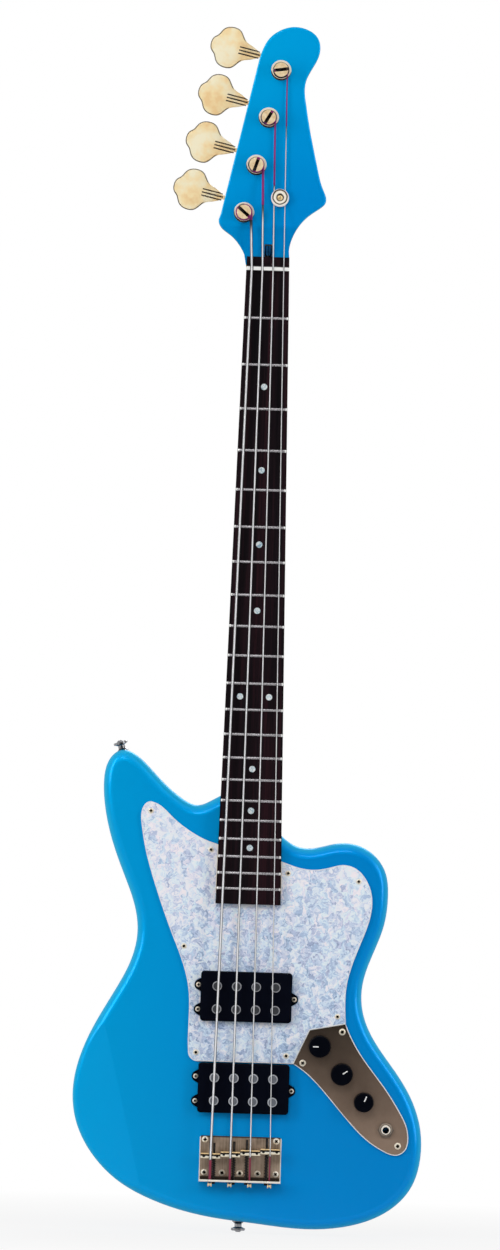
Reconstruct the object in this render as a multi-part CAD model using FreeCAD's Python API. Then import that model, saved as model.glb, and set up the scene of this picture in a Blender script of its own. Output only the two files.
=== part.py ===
import FreeCAD, Part
import math
import os

# A four-string electric bass guitar, standing upright with its neck along +Z.
# X runs to the right as a viewer faces the front, the front looks along -Y,
# and the origin is at the foot of the body on the centreline, where the end strap button seats.
# Places on the instrument are given as (x, down, out): right of the centreline,
# down from the nut towards the bridge, and out in front of the body's front face.

V = FreeCAD.Vector

# Main sizes in millimetres
SCALE = 863.6
NUT_SPREAD = 31.3
SADDLE_SPREAD = 58.2
OVERRUN = 30.0
FIT = 0.05
LOOSE = 0.3

# Body
BODY_WIDTH = 343.0
BODY_LENGTH = 464.0
BODY_THICK = 44.5
BODY_CURVE_PIECES = 8
ARM_CONTOUR_TILT = 12.0
ARM_CONTOUR_TURN = 14.0
POCKET_DEPTH = 16.0
POCKET_CORNER = 7.0
BODY_SHARES = (
    (0.000, 0.000), (-0.131, 0.014), (-0.245, 0.039), (-0.351, 0.080), (-0.427, 0.136), (-0.471, 0.198),
    (-0.484, 0.265), (-0.469, 0.332), (-0.430, 0.403), (-0.371, 0.481), (-0.329, 0.545), (-0.313, 0.608),
    (-0.325, 0.664), (-0.357, 0.726), (-0.391, 0.791), (-0.414, 0.856), (-0.422, 0.912), (-0.417, 0.950),
    (-0.401, 0.974), (-0.373, 0.987), (-0.338, 0.980), (-0.297, 0.955), (-0.252, 0.921), (-0.201, 0.890),
    (-0.152, 0.875), (-0.108, 0.888), (-0.052, 0.903), (0.017, 0.864), (0.090, 0.815), (0.131, 0.795),
    (0.178, 0.791), (0.243, 0.802), (0.299, 0.802), (0.354, 0.782), (0.388, 0.748), (0.399, 0.696),
    (0.389, 0.631), (0.358, 0.567), (0.333, 0.502), (0.338, 0.446), (0.373, 0.388), (0.430, 0.330),
    (0.484, 0.267), (0.512, 0.203), (0.514, 0.144), (0.490, 0.082), (0.426, 0.031), (0.321, -0.002),
    (0.175, -0.012))
ARM_CONTOUR_SHARES = (-0.356, 0.287)
BODY_EDGE_SHARE = 0.03944
ARM_ROUND_SHARE = 0.6
END_TO_SADDLE_SHARE = 0.149569
HEEL_END_SHARE = 0.683082
NECK_PICKUP_SHARE = 0.325
BRIDGE_PICKUP_SHARE = 0.131681

# Neck and headstock
NUT_WIDTH = 42.0
BOARD_END_WIDTH = 63.7
NECK_RISE = 4.0
NECK_DEPTH_AT_NUT = 15.0
NECK_DEPTH_AT_HEEL = 17.5
NECK_ROUNDNESS = 2.3
HEEL_SQUARENESS = 9.0
HEEL_DEPTH = POCKET_DEPTH + NECK_RISE
HEEL_LENGTH = 100.0
HEEL_BLEND = 34.0
HEAD_WIDTH = 104.0
HEAD_LENGTH = 237.5
HEAD_THICK = 15.0
HEAD_DROP = 13.0
HEAD_EDGE_ROUND = 1.6
HEAD_CURVE_PIECES = 6
HEAD_START = 12.0
HEAD_BLEND = 37.0
HEAD_SCOOP = 22.0
HEAD_BACK_RISE = 11.0
HEAD_NECK_LEFT_SHARE = -0.27
HEAD_NECK_RIGHT_SHARE = 0.19
HEAD_NECK_SQUARENESS = 5.0
NECK_SECTION_STEPS = 14
HEAD_RIGHT_SHARES = (
    (0.194, 0.051), (0.195, 0.084), (0.212, 0.118), (0.274, 0.175), (0.380, 0.226), (0.486, 0.259),
    (0.523, 0.277), (0.529, 0.297), (0.500, 0.331), (0.440, 0.419), (0.361, 0.568), (0.308, 0.695),
    (0.296, 0.741), (0.317, 0.792), (0.394, 0.855), (0.431, 0.909), (0.404, 0.958), (0.308, 0.990),
    (0.173, 1.000), (0.053, 0.985), (-0.043, 0.954), (-0.109, 0.905), (-0.140, 0.863))
HEAD_LEFT_SHARES = (
    (-0.458, 0.221), (-0.476, 0.192), (-0.455, 0.168), (-0.356, 0.133), (-0.279, 0.097), (-0.237, 0.067),
    (-0.221, 0.051))

HEAD_EDGE_SHARES = (0.04, 0.12, 0.24, 0.38, 0.5, 0.62, 0.76, 0.88, 0.96)

# Fingerboard, frets and nut
FRETS = 21
BOARD_THICK = 6.0
BOARD_RADIUS = 241.3
BOARD_PAST_FRET = 15.2
BOARD_BEHIND_NUT = 11.5
BOARD_BACK_SLOPE = 4.2
FRET_WIDTH = 2.7
FRET_HEIGHT = 1.1
FRET_TANG_WIDTH = 0.6
FRET_TANG_DEPTH = 1.6
FRET_END_GAP = 0.4
DOT_DIAMETER = 6.2
DOT_DEPTH = 1.8
DOUBLE_DOT_SPREAD = 28.4
DOT_FRETS = (3, 5, 7, 9, 15, 17, 19)
DOUBLE_DOT_FRET = 12
SIDE_DOT_DIAMETER = 2.0
SIDE_DOT_DEPTH = 1.5
SIDE_DOT_SPREAD = 7.0
NUT_THICK = 4.8
NUT_SEAT = 3.0
NUT_LIP = 2.9

# Truss rod
TRUSS_CHANNEL_WIDTH = 6.4
TRUSS_CHANNEL_DEPTH = 9.6
TRUSS_SLOT_WIDTH = 7.6
TRUSS_SLOT_LENGTH = 12.5
TRUSS_ROD_DIAMETER = 4.8
TRUSS_ROD_BELOW = 6.0
TRUSS_ROD_SHORT = 45.0
TRUSS_ANCHOR_LENGTH = 14.0
TRUSS_NUT_DIAMETER = 6.6
TRUSS_NUT_LENGTH = 9.5
TRUSS_SOCKET = 4.0

# Strings, from the thickest to the thinnest
STRING_NAMES = ("e", "a", "d", "g")
E_STRING = 2.67
A_STRING = 2.16
D_STRING = 1.65
G_STRING = 1.14
STRING_DIAMETERS = (E_STRING, A_STRING, D_STRING, G_STRING)
STRING_OVER_NUT = 1.8
STRING_OVER_BODY = 15.4
SADDLE_BEND_RADIUS = 12.0
NUT_BEND_RADIUS = 10.0
BALL_DIAMETER = 4.6
BALL_LENGTH = 4.4
WINDING_GAP = 0.5
WINDING_GAP_SHARES = (2.8, 2.0, 1.2, 1.2)
WINDING_QUARTERS = (9, 9, 10, 12)
WINDING_LEAD = 9.0

# Tuners
POST_ROW_TILT = 12.9
E_POST_X = -25.0
E_POST_ABOVE_NUT = 54.6
POST_PITCH = 47.9
BUSHING_DIAMETER = 20.0
BUSHING_FLANGE = 1.5
BUSHING_SLEEVE_DIAMETER = 13.0
BUSHING_SLEEVE = 8.0
POST_SHAFT_DIAMETER = 8.0
POST_BARREL_DIAMETER = 10.4
POST_HEAD_DIAMETER = 14.0
POST_HEAD_HEIGHT = 4.0
POST_HEIGHT = 19.0
POST_SLOT_WIDTH = 3.2
POST_SLOT_DEPTH = 9.0
POST_SLOT_TURNS = (-40.0, 72.0, 60.0, 8.0)
GEAR_TEETH = 20
GEAR_PITCH_RADIUS = 7.0
GEAR_THICK = 4.0
WORM_PITCH_RADIUS = 2.6
WORM_CORE_RADIUS = 2.0
WORM_CREST_RADIUS = 3.0
WORM_CREST_WIDTH = 0.5
WORM_TURNS = 5
TOOTH_TIP_WIDTH = 0.55
TOOTH_FLANK_TILT = 20.0
GEAR_TIP_GAP = 0.3
GEAR_ROOT_GAP = 0.4
GEAR_SCREW_DIAMETER = 6.0
TUNER_PLATE_WIDTH = 21.0
TUNER_PLATE_BELOW = 13.5
TUNER_PLATE_ABOVE = 18.0
TUNER_PLATE_THICK = 1.2
TUNER_PLATE_CORNER = 3.0
WORM_OVER_PLATE = 4.3
EAR_THICK = 2.0
EAR_WIDTH = 7.0
EAR_SPACE = 13.2
TUNER_SCREW_INSET = 2.6
EDGE_TO_POST = 23.2
KEY_LEAF_WIDTH = 41.0
KEY_LEAF_LENGTH = 47.4
KEY_LEAF_THICK = 3.6
KEY_LEAF_ROUND = 1.3
KEY_COLLAR_DIAMETER = 9.0
KEY_COLLAR_LENGTH = 16.0
KEY_COLLAR_GAP = 1.5
KEY_COLLAR_GROOVE = 0.9
KEY_COLLAR_TAPER_SHARE = 0.82
KEY_COLLAR_FLAT_SHARE = 1.7
KEY_GROOVE_LEVEL_SHARE = 0.6
KEY_GROOVE_SHARES = (-0.63, -0.21, 0.21, 0.63)
KEY_LEAF_ROOT_SHARE = 0.1
KEY_LEAF_SHARES = (
    (0.00, 0.088), (0.08, 0.135), (0.16, 0.174), (0.25, 0.212), (0.33, 0.284), (0.395, 0.384), (0.47, 0.467),
    (0.585, 0.500), (0.71, 0.478), (0.795, 0.416), (0.85, 0.318), (0.895, 0.230), (0.955, 0.165))

# String retainer on the headstock
RETAINER_X = 9.8
RETAINER_ABOVE_NUT = 69.7
RETAINER_DIAMETER = 17.6
RETAINER_FLANGE = 2.0
RETAINER_STEM_DIAMETER = 6.5
RETAINER_STEM = 4.5
RETAINER_BEND_RADIUS = 14.0

# Pickups
PICKUP_WIDTH = 88.5
PICKUP_LENGTH = 48.2
PICKUP_HEIGHT = 22.0
PICKUP_OVER_BODY = 10.0
PICKUP_CORNER = 3.0
PICKUP_EDGE_ROUND = 1.2
PICKUP_WALL = 2.0
PICKUP_X = 1.0
PICKUP_GAP = 0.5
PICKUP_TRAVEL = 1.0
EAR_DIAMETER = 9.6
EAR_OUT = 1.5
EAR_BASE = 13.0
EAR_SPREAD = 24.0
PICKUP_EAR_THICK = 3.0
PICKUP_EAR_OUT = 1.6
POLE_SHIFT = 1.2
POLE_DIAMETER = 9.6
POLE_PROUD = 0.3
POLE_LENGTH = 18.0
POLE_SPREAD = 57.3
POLE_ROWS = 22.5
COIL_WIDTH = 18.4
COIL_LENGTH = 80.0
COIL_HEIGHT = 11.0
COIL_BELOW = 4.0
FOAM_WIDTH = 66.0
FOAM_LENGTH = 28.0
FOAM_THICK = 6.0
PICKUP_SCREW_LENGTH = 32.0

# Bridge
BRIDGE_WIDTH = 80.0
BRIDGE_LENGTH = 44.5
BRIDGE_FRONT = 14.1
BRIDGE_PLATE = 2.0
BRIDGE_LIP = 17.0
BRIDGE_CORNER = 1.2
BRIDGE_SCREW_SIDE = 5.1
BRIDGE_SCREW_FRONT = 3.7
BRIDGE_SCREW_BACK = 8.6
BRIDGE_TAIL_SCREWS = 5
SADDLE_SETBACK = 5.4
SADDLE_SETBACK_SHARES = (1.0, 0.63, 0.26, -0.05)
SADDLE_LENGTH = 5.5
SADDLE_GAP = 0.3
SADDLE_TALL = 10.0
SADDLE_TRAVEL = 2.0
SADDLE_EDGE = 0.5
SADDLE_GROOVE = 0.9
SADDLE_SCREW_DIAMETER = 2.8
SADDLE_SCREW_SPREAD = 13.0
SADDLE_SCREW_SUNK = 1.0
SADDLE_SCREW_SOCKET = 1.3
STRING_LIP_HEIGHT = 12.6
INTONATION_OFFSET = 3.4
INTONATION_RISE = 3.4
INTONATION_DIAMETER = 2.4
INTONATION_HEAD = 3.6
INTONATION_HEAD_LENGTH = 2.4
INTONATION_REACH = 10.0
SPRING_WIRE = 0.6
SPRING_DIAMETER = 4.3
SPRING_TURNS = 9

# Pickguard and control plate
GUARD_THICK = 2.5
GUARD_GAP = 0.4
GUARD_CORNER = 9.0
GUARD_PAST_EAR = 4.3
GUARD_SCREW_FROM_NECK = 7.0
GUARD_EAR_SHARES = ((1.0, 0.356), (1.08, 0.427), (1.32, 0.487))
GUARD_LEFT_SHARES = (
    (-0.176, 0.534), (-0.217, 0.610), (-0.261, 0.696),
    (-0.294, 0.774), (-0.310, 0.836), (-0.308, 0.866), (-0.293, 0.879), (-0.271, 0.877), (-0.222, 0.848),
    (-0.182, 0.825), (-0.134, 0.805), (-0.090, 0.794))
GUARD_RIGHT_SHARES = (
    (0.090, 0.763), (0.134, 0.751), (0.181, 0.746), (0.227, 0.751), (0.268, 0.758), (0.305, 0.751),
    (0.332, 0.731), (0.350, 0.700), (0.351, 0.659), (0.332, 0.610), (0.303, 0.552), (0.287, 0.502),
    (0.285, 0.463), (0.288, 0.424))
PLATE_THICK = 2.0
PLATE_CORNER_SHARES = (0.187, 0.409)
PLATE_SHARES = (
    (0.288, 0.424), (0.306, 0.394), (0.342, 0.351), (0.405, 0.291), (0.449, 0.242), (0.471, 0.209),
    (0.476, 0.181), (0.468, 0.161), (0.446, 0.151), (0.411, 0.157), (0.362, 0.179), (0.302, 0.222),
    (0.251, 0.265), (0.198, 0.307))
PLATE_FROM_PICKUP = 3.8
PLATE_POINT_SHARE = 0.337
PLATE_SCREW_FROM_PICKUP = 13.0
PLATE_POINT_SCREW_SHARE = 0.339
GUARD_SCREW_SHARES = (
    (-0.285, 0.861), (-0.179, 0.578), (0.314, 0.725), (0.265, 0.439), (0.122, 0.353), (-0.136, 0.355))
GUARD_NECK_SCREW_SHARES = (0.783, 0.738)
PLATE_SCREW_SHARES = ((0.280, 0.407), (0.448, 0.170))

# Controls and output jack, in one row down the control plate
FIRST_KNOB_SHARES = (0.217, 0.375)
CONTROL_PITCH = 34.8
CONTROL_ROW_TILT = 50.0
CONTROL_CAVITY_WIDTH = 28.0
CONTROL_CAVITY_DEPTH = 34.0
POT_DIAMETER = 24.0
POT_HEIGHT = 10.0
POT_BELOW = 1.0
POT_BUSHING_DIAMETER = 9.4
POT_BUSHING_OUT = 5.0
POT_SHAFT_DIAMETER = 6.0
POT_SHAFT_OUT = 10.0
CONTROL_NUT_ACROSS = 13.0
CONTROL_NUT_THICK = 2.2
KNOB_NAMES = ("neck_volume_knob", "bridge_volume_knob", "tone_knob")
VOLUME_KNOB_DIAMETER = 22.0
TONE_KNOB_DIAMETER = 19.8
KNOB_DIAMETERS = (VOLUME_KNOB_DIAMETER, VOLUME_KNOB_DIAMETER, TONE_KNOB_DIAMETER)
KNOB_HEIGHT = 15.0
KNOB_TAPER = 0.7
KNOB_EDGE_ROUND = 1.0
KNOB_OVER_PLATE = 0.8
KNOB_HOLLOW = 5.5
KNOB_HOLLOW_DIAMETER = 16.5
KNOB_GROOVE_WIDTH = 1.3
KNOB_GROOVE_DEPTH = 0.5
KNOB_GROOVE_REACH = 7.0
KNOB_POINTER_TURNS = (180.0, 36.0, 68.0)
JACK_BORE_DIAMETER = 6.5
JACK_BARREL_DIAMETER = 9.4
JACK_OUT = 4.6
JACK_LENGTH = 27.0
JACK_FLANGE_DIAMETER = 15.0
JACK_FLANGE = 4.0
JACK_NUT_ACROSS = 14.0

# Strap buttons
BUTTON_BASE_DIAMETER = 12.0
BUTTON_WAIST_DIAMETER = 7.0
BUTTON_HEAD_DIAMETER = 14.0
BUTTON_HEIGHT = 9.5
BUTTON_BASE_HEIGHT = 1.4
BUTTON_HEAD_HEIGHT = 2.4
BUTTON_SEAT = 1.2
BUTTON_SEAT_MARGIN = 0.6
BUTTON_BORE_DIAMETER = 3.6
HORN_BUTTON_SHARES = (-0.372, 0.987)
HORN_BUTTON_TILT = 18.0

# Neck plate on the back
NECK_PLATE_WIDTH = 51.0
NECK_PLATE_LENGTH = 47.0
NECK_PLATE_THICK = 2.0
NECK_PLATE_CORNER = 4.0
NECK_PLATE_FROM_HEEL = 2.0
NECK_SCREW_INSET = 6.5
NECK_SCREW_LENGTH = 41.0

# Screws: head diameter, head height, shank diameter and length, and the recess of a cross-slot head
FACE_SCREW_HEAD = 5.6
FACE_SCREW_DOME = 1.5
FACE_SCREW_SHANK = 2.6
FACE_SCREW_LENGTH = 14.0
PLATE_SCREW_HEAD = 6.6
BRIDGE_SCREW_HEAD = 6.4
BRIDGE_SCREW_SHANK = 3.4
BRIDGE_SCREW_LENGTH = 24.0
SMALL_SCREW_HEAD = 4.0
SMALL_SCREW_DOME = 1.1
SMALL_SCREW_SHANK = 1.9
SMALL_SCREW_LENGTH = 9.0
EAR_SCREW_HEAD = 5.0
EAR_SCREW_SHANK = 2.8
NECK_SCREW_HEAD = 8.6
NECK_SCREW_SHANK = 4.4
BUTTON_SCREW_HEAD = 7.0
BUTTON_SCREW_LENGTH = 24.0
SCREW_POINT_SHARE = 0.8
CROSS_REACH_SHARE = 0.62
CROSS_WIDTH_SHARE = 0.17
CROSS_DEPTH_SHARE = 0.6
SCREW_TURN_STEP = 37.0

# Places worked out from the sizes above
BODY_EDGE_ROUND = BODY_EDGE_SHARE * BODY_WIDTH ** 2 / BODY_LENGTH
ARM_CONTOUR_ROUND = ARM_ROUND_SHARE * BODY_EDGE_ROUND
END_TO_SADDLE = END_TO_SADDLE_SHARE * BODY_LENGTH
NUT_UP = END_TO_SADDLE + SCALE
FRONT_Y = -BODY_THICK / 2
BOARD_TOP = NECK_RISE + BOARD_THICK
HEAD_FACE = BOARD_TOP - HEAD_DROP
HEAD_BACK = HEAD_FACE - HEAD_THICK
LAST_FRET_DOWN = SCALE * (1 - 2 ** (-FRETS / 12))
BOARD_LENGTH = LAST_FRET_DOWN + BOARD_PAST_FRET
HEEL_END = NUT_UP - HEEL_END_SHARE * BODY_LENGTH
HEEL_TOP = HEEL_END - HEEL_LENGTH
TUNER_CENTRES = GEAR_PITCH_RADIUS + WORM_PITCH_RADIUS
WORM_PITCH = 2 * math.pi * GEAR_PITCH_RADIUS / GEAR_TEETH
WORM_OUT = HEAD_BACK - TUNER_PLATE_THICK - WORM_OVER_PLATE
RETAINER_UNDER = HEAD_FACE + RETAINER_STEM
NECK_PICKUP_DOWN = SCALE - NECK_PICKUP_SHARE * BODY_LENGTH
BRIDGE_PICKUP_DOWN = SCALE - BRIDGE_PICKUP_SHARE * BODY_LENGTH
PICKUP_FLOOR = PICKUP_OVER_BODY - PICKUP_HEIGHT - PICKUP_TRAVEL - LOOSE - FOAM_THICK
EAR_SCREW_OUT = EAR_SCREW_HEAD / 2 + LOOSE
BRIDGE_TOP_DOWN = SCALE - BRIDGE_FRONT
LIP_DOWN = BRIDGE_TOP_DOWN + BRIDGE_LENGTH - BRIDGE_PLATE
FORWARD = V(0, -1, 0)
BACKWARD = V(0, 1, 0)
UP = V(0, 0, 1)


def at(x, down, out):
    """The point x to the right, down from the nut and out in front of the body's face."""
    return V(x, FRONT_Y - out, NUT_UP - down)


def on_body(share, out):
    """The point at shares of the body's width and length from its foot, out in front of its face."""
    return V(share[0] * BODY_WIDTH, FRONT_Y - out, share[1] * BODY_LENGTH)


def board_half(down):
    """Half the fingerboard's width at a place down from the nut."""
    return (NUT_WIDTH + (BOARD_END_WIDTH - NUT_WIDTH) * down / BOARD_LENGTH) / 2


def string_x(number, spread):
    """Where a string crosses the nut or the saddles, the thickest on the left."""
    return spread * (number / (len(STRING_NAMES) - 1) - 1 / 2)


def crown_drop(x):
    """How far the round fingerboard lies below its crest at x."""
    return BOARD_RADIUS - math.sqrt(BOARD_RADIUS ** 2 - x ** 2)


def unit(vector):
    return vector * (1 / vector.Length)


def spline(points):
    """An open curve through the points."""
    curve = Part.BSplineCurve()
    curve.interpolate(points)
    return curve.toShape()


def spline_pieces(points, pieces, closed):
    """A curve through the points as several edges that join smoothly."""
    curve = Part.BSplineCurve()
    curve.interpolate(Points=points, PeriodicFlag=closed)
    knots = curve.getKnots()
    marks = [knots[round(number * (len(knots) - 1) / pieces)] for number in range(pieces + 1)]
    return [curve.toShape(first, last) for first, last in zip(marks, marks[1:])]


def line(start, end):
    return Part.LineSegment(start, end).toShape()


def prism(wire, low, high):
    """A flat outline in the XZ plane made solid from out=low to out=high."""
    face = Part.Face(wire)
    face.translate(V(0, FRONT_Y - low - wire.BoundBox.YMin, 0))
    return face.extrude(V(0, low - high, 0))


def polygon(points):
    return Part.makePolygon(list(points) + [points[0]])


def block(left, right, top, bottom, low, high):
    """A box between two x, two downs and two outs."""
    wire = polygon([at(left, top, 0), at(right, top, 0), at(right, bottom, 0), at(left, bottom, 0)])
    return prism(wire, low, high)


def rod(centre, direction, radius, length):
    return Part.makeCylinder(radius, length, centre, direction)


def edges_along(solid, direction):
    """The straight edges of a solid that run along a direction."""
    found = []
    for edge in solid.Edges:
        if len(edge.Vertexes) == 2 and isinstance(edge.Curve, Part.Line):
            run = edge.Vertexes[1].Point - edge.Vertexes[0].Point
            if run.cross(direction).Length < run.Length / OVERRUN:
                found.append(edge)
    return found


def edges_at_out(solid, out):
    """The edges of a solid that lie in one plane parallel to the body's face."""
    y = FRONT_Y - out
    near = FIT / 2
    return [edge for edge in solid.Edges
            if abs(edge.BoundBox.YMin - y) < near and abs(edge.BoundBox.YMax - y) < near]


def side_profile(points, half_width):
    """A solid across the neck from an outline of (down, out) places."""
    wire = polygon([at(-half_width, down, out) for down, out in points])
    return Part.Face(wire).extrude(V(2 * half_width, 0, 0))


def stadium(start, end, radius, low, high):
    """An upright slot with round ends between two points."""
    along = unit(end - start)
    side = along.cross(FORWARD) * radius
    ring = Part.Wire([
        line(start + side, end + side),
        Part.Arc(end + side, end + along * radius, end - side).toShape(),
        line(end - side, start - side),
        Part.Arc(start - side, start - along * radius, start + side).toShape()])
    return prism(ring, low, high)


def turned(profile, base, direction):
    """A solid of revolution from (radius, height) points, standing at base along a direction."""
    wire = polygon([V(radius, 0, height) for radius, height in profile])
    solid = Part.Face(wire).revolve(V(0, 0, 0), UP, 360)
    return placed(solid, base, direction)


def placed(shape, base, direction, turn=0):
    """A copy of a shape made along +Z, turned about its axis and stood at base along a direction."""
    spin = FreeCAD.Rotation(UP, turn)
    aim = FreeCAD.Rotation(UP, direction)
    copy = shape.copy()
    copy.Placement = FreeCAD.Placement(base, aim.multiply(spin))
    return copy


def hexagon(across, thick, bore):
    """A six-sided nut with a round hole, standing on the origin along +Z."""
    corner = across / math.sqrt(3)
    ring = [V(corner * math.cos(math.radians(60 * n)), corner * math.sin(math.radians(60 * n)), 0)
            for n in range(6)]
    nut = Part.Face(polygon(ring)).extrude(V(0, 0, thick))
    return nut.cut(rod(V(0, 0, -OVERRUN), UP, bore, thick + 2 * OVERRUN))


def cross_screw(head, dome, shank, length):
    """A wood screw with a domed cross-slot head, its head on the origin and its shank along -Z."""
    head_radius = head / 2
    shank_radius = shank / 2
    slant = math.pi / 4
    shoulder = V(head_radius * math.cos(slant), 0, dome * math.sin(slant))
    crown = Part.Arc(V(head_radius, 0, 0), shoulder, V(0, 0, dome))
    corners = [V(0, 0, dome), V(0, 0, -length), V(shank_radius, 0, -length * SCREW_POINT_SHARE),
               V(shank_radius, 0, 0), V(head_radius, 0, 0)]
    sides = [line(a, b) for a, b in zip(corners, corners[1:])]
    screw = Part.Face(Part.Wire(sides + [crown.toShape()])).revolve(V(0, 0, 0), UP, 360)
    reach = head_radius * CROSS_REACH_SHARE
    width = head * CROSS_WIDTH_SHARE
    depth = dome * CROSS_DEPTH_SHARE
    for long_x, long_y in ((reach, width / 2), (width / 2, reach)):
        bar = Part.makeBox(2 * long_x, 2 * long_y, depth + OVERRUN, V(-long_x, -long_y, dome - depth))
        screw = screw.cut(bar)
    return screw


def screw_row(screw, places, direction):
    """One screw at each place, each with its slot turned a little further."""
    return [placed(screw, place, direction, SCREW_TURN_STEP * number)
            for number, place in enumerate(places)]


def drilled(solid, places, direction, diameter, depth):
    """A solid with a hole sunk at each place against a direction."""
    for place in places:
        start = place + direction * OVERRUN
        solid = solid.cut(rod(start, direction * -1, diameter / 2 + FIT, depth + OVERRUN))
    return solid


def arc_from(start, heading, end):
    """The arc that leaves start along a heading and reaches end."""
    chord = end - start
    side = chord - heading * chord.dot(heading)
    if side.Length < chord.Length / 1e6:
        return line(start, end)
    side = unit(side)
    radius = chord.Length ** 2 / (2 * chord.dot(side))
    centre = start + side * radius
    middle = centre + unit((start - centre) + (end - centre)) * radius
    if chord.dot(heading) < 0:
        middle = centre * 2 - middle
    return Part.Arc(start, middle, end).toShape()


def biarc(start, heading, end, end_heading):
    """Two arcs that join two points smoothly with the given headings."""
    span = end - start
    both = heading + end_heading
    spread = 2 * (1 - heading.dot(end_heading))
    reach = span.dot(both)
    if spread < 1e-9:
        reach_each = span.dot(span) / (4 * span.dot(end_heading))
    else:
        reach_each = (-reach + math.sqrt(reach ** 2 + spread * span.dot(span))) / spread
    middle = (start + heading * reach_each + end - end_heading * reach_each) * 0.5
    first = arc_from(start, heading, middle)
    second = arc_from(end, end_heading * -1, middle)
    return [first, Part.Edge(second.Curve.toShape(second.FirstParameter, second.LastParameter))]


def helix_place(centre, right, ahead, axis, radius, pitch, angle):
    """A point and heading on a helix that starts at angle zero on the right of its axis."""
    rise = pitch / (2 * math.pi)
    ring = right * (radius * math.cos(angle)) + ahead * (radius * math.sin(angle))
    point = centre + ring + axis * (rise * angle)
    heading = unit(right * (-radius * math.sin(angle)) + ahead * (radius * math.cos(angle)) + axis * rise)
    return point, heading


def tube(edges, start, heading, radius, name):
    """A round wire along a path of lines and arcs."""
    path = Part.Wire(Part.__sortEdges__(edges))
    ring = Part.Wire(Part.makeCircle(radius, start, heading))
    solid = path.makePipeShell([ring], True, False)
    ideal = math.pi * radius ** 2 * path.Length
    print(name, "volume over section times length", round(solid.Volume / ideal, 4))
    return solid


def least_gap(edges, radius, apart, steps):
    """The least clear space between turns of a wire, on points along its path."""
    points = []
    for edge in edges:
        count = max(3, int(edge.Length / steps))
        points.extend(edge.discretize(count)[:-1])
    runs = [0.0]
    for a, b in zip(points, points[1:]):
        runs.append(runs[-1] + (b - a).Length)
    least = None
    for i, point in enumerate(points):
        for j in range(i + 1, len(points)):
            if runs[j] - runs[i] > apart:
                gap = (points[j] - point).Length - 2 * radius
                least = gap if least is None else min(least, gap)
    return least


def bent_route(points, radii):
    """Lines through the points, each corner rounded by an arc of its radius."""
    edges = []
    start = points[0]
    for before, corner, after, radius in zip(points, points[1:], points[2:], radii):
        come = unit(corner - before)
        leave = unit(after - corner)
        turn = math.acos(max(-1.0, min(1.0, come.dot(leave))))
        trim = radius * math.tan(turn / 2)
        first = corner - come * trim
        last = corner + leave * trim
        edges.append(line(start, first))
        edges.append(arc_from(first, come, last))
        start = last
    edges.append(line(start, points[-1]))
    return edges


def groove(start, end, radius, height):
    """An open-topped channel of a string's width from one point to another."""
    along = unit(end - start)
    channel = rod(start, along, radius, (end - start).Length)
    rise = FORWARD * height
    side = V(radius, 0, 0)
    wire = polygon([start - side, end - side, end - side + rise, start - side + rise])
    return channel.fuse(Part.Face(wire).extrude(side * 2))


# Places of strings, saddles, posts and controls


def nut_place(number):
    """The middle of a string where it crosses the nut."""
    x = string_x(number, NUT_SPREAD)
    return at(x, 0, BOARD_TOP + STRING_OVER_NUT - crown_drop(x) + STRING_DIAMETERS[number] / 2)


def saddle_down(number):
    return SCALE + SADDLE_SETBACK * SADDLE_SETBACK_SHARES[number]


def saddle_place(number):
    """The middle of a string where it crosses its saddle."""
    x = string_x(number, SADDLE_SPREAD)
    return at(x, saddle_down(number), STRING_OVER_BODY - crown_drop(x) + STRING_DIAMETERS[number] / 2)


def saddle_top(number):
    """How far the top of a saddle stands out from the body."""
    return FRONT_Y - saddle_place(number).y + SADDLE_GROOVE - STRING_DIAMETERS[number] / 2


def intonation_place(number):
    """Where the axis of an intonation screw passes through the lip."""
    x = string_x(number, SADDLE_SPREAD)
    inward = -math.copysign(INTONATION_OFFSET, x)
    return at(x + inward, LIP_DOWN, saddle_top(number) - SADDLE_TALL + INTONATION_RISE)


def post_axes():
    """The directions along the row of posts and out past the headstock's edge."""
    tilt = math.radians(POST_ROW_TILT)
    along = V(math.sin(tilt), 0, math.cos(tilt))
    outward = V(-math.cos(tilt), 0, math.sin(tilt))
    return along, outward


def post_place(number, out):
    """A point on the axis of a string's post."""
    along, outward = post_axes()
    return at(E_POST_X, -E_POST_ABOVE_NUT, out) + along * (POST_PITCH * number)


def worm_place(number, reach):
    """A point on the axis of a tuning key, reach outwards from its post."""
    along, outward = post_axes()
    return post_place(number, WORM_OUT) + along * TUNER_CENTRES + outward * reach


def control_place(number, out):
    """The axis of a control, the three knobs and then the jack."""
    tilt = math.radians(CONTROL_ROW_TILT)
    step = V(math.cos(tilt), 0, -math.sin(tilt)) * (CONTROL_PITCH * number)
    return on_body(FIRST_KNOB_SHARES, out) + step


def guard_screw_places(out):
    """The screws round the edge of the pickguard and one on each side of the neck."""
    places = [on_body(share, out) for share in GUARD_SCREW_SHARES]
    for side, share in zip((-1, 1), GUARD_NECK_SCREW_SHARES):
        down = NUT_UP - share * BODY_LENGTH
        places.append(at(side * (board_half(down) + GUARD_SCREW_FROM_NECK), down, out))
    return places


def beside_pickup(reach, share, out):
    """A place on the treble side, reach past the pickups' edge and at a share of the body's length."""
    return at(PICKUP_X + PICKUP_WIDTH / 2 + reach, NUT_UP - share * BODY_LENGTH, out)


def plate_screw_places(out):
    """The three screws of the control plate, the last at its point beside the pickup."""
    places = [on_body(share, out) for share in PLATE_SCREW_SHARES]
    return places + [beside_pickup(PLATE_SCREW_FROM_PICKUP, PLATE_POINT_SCREW_SHARE, out)]


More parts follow.
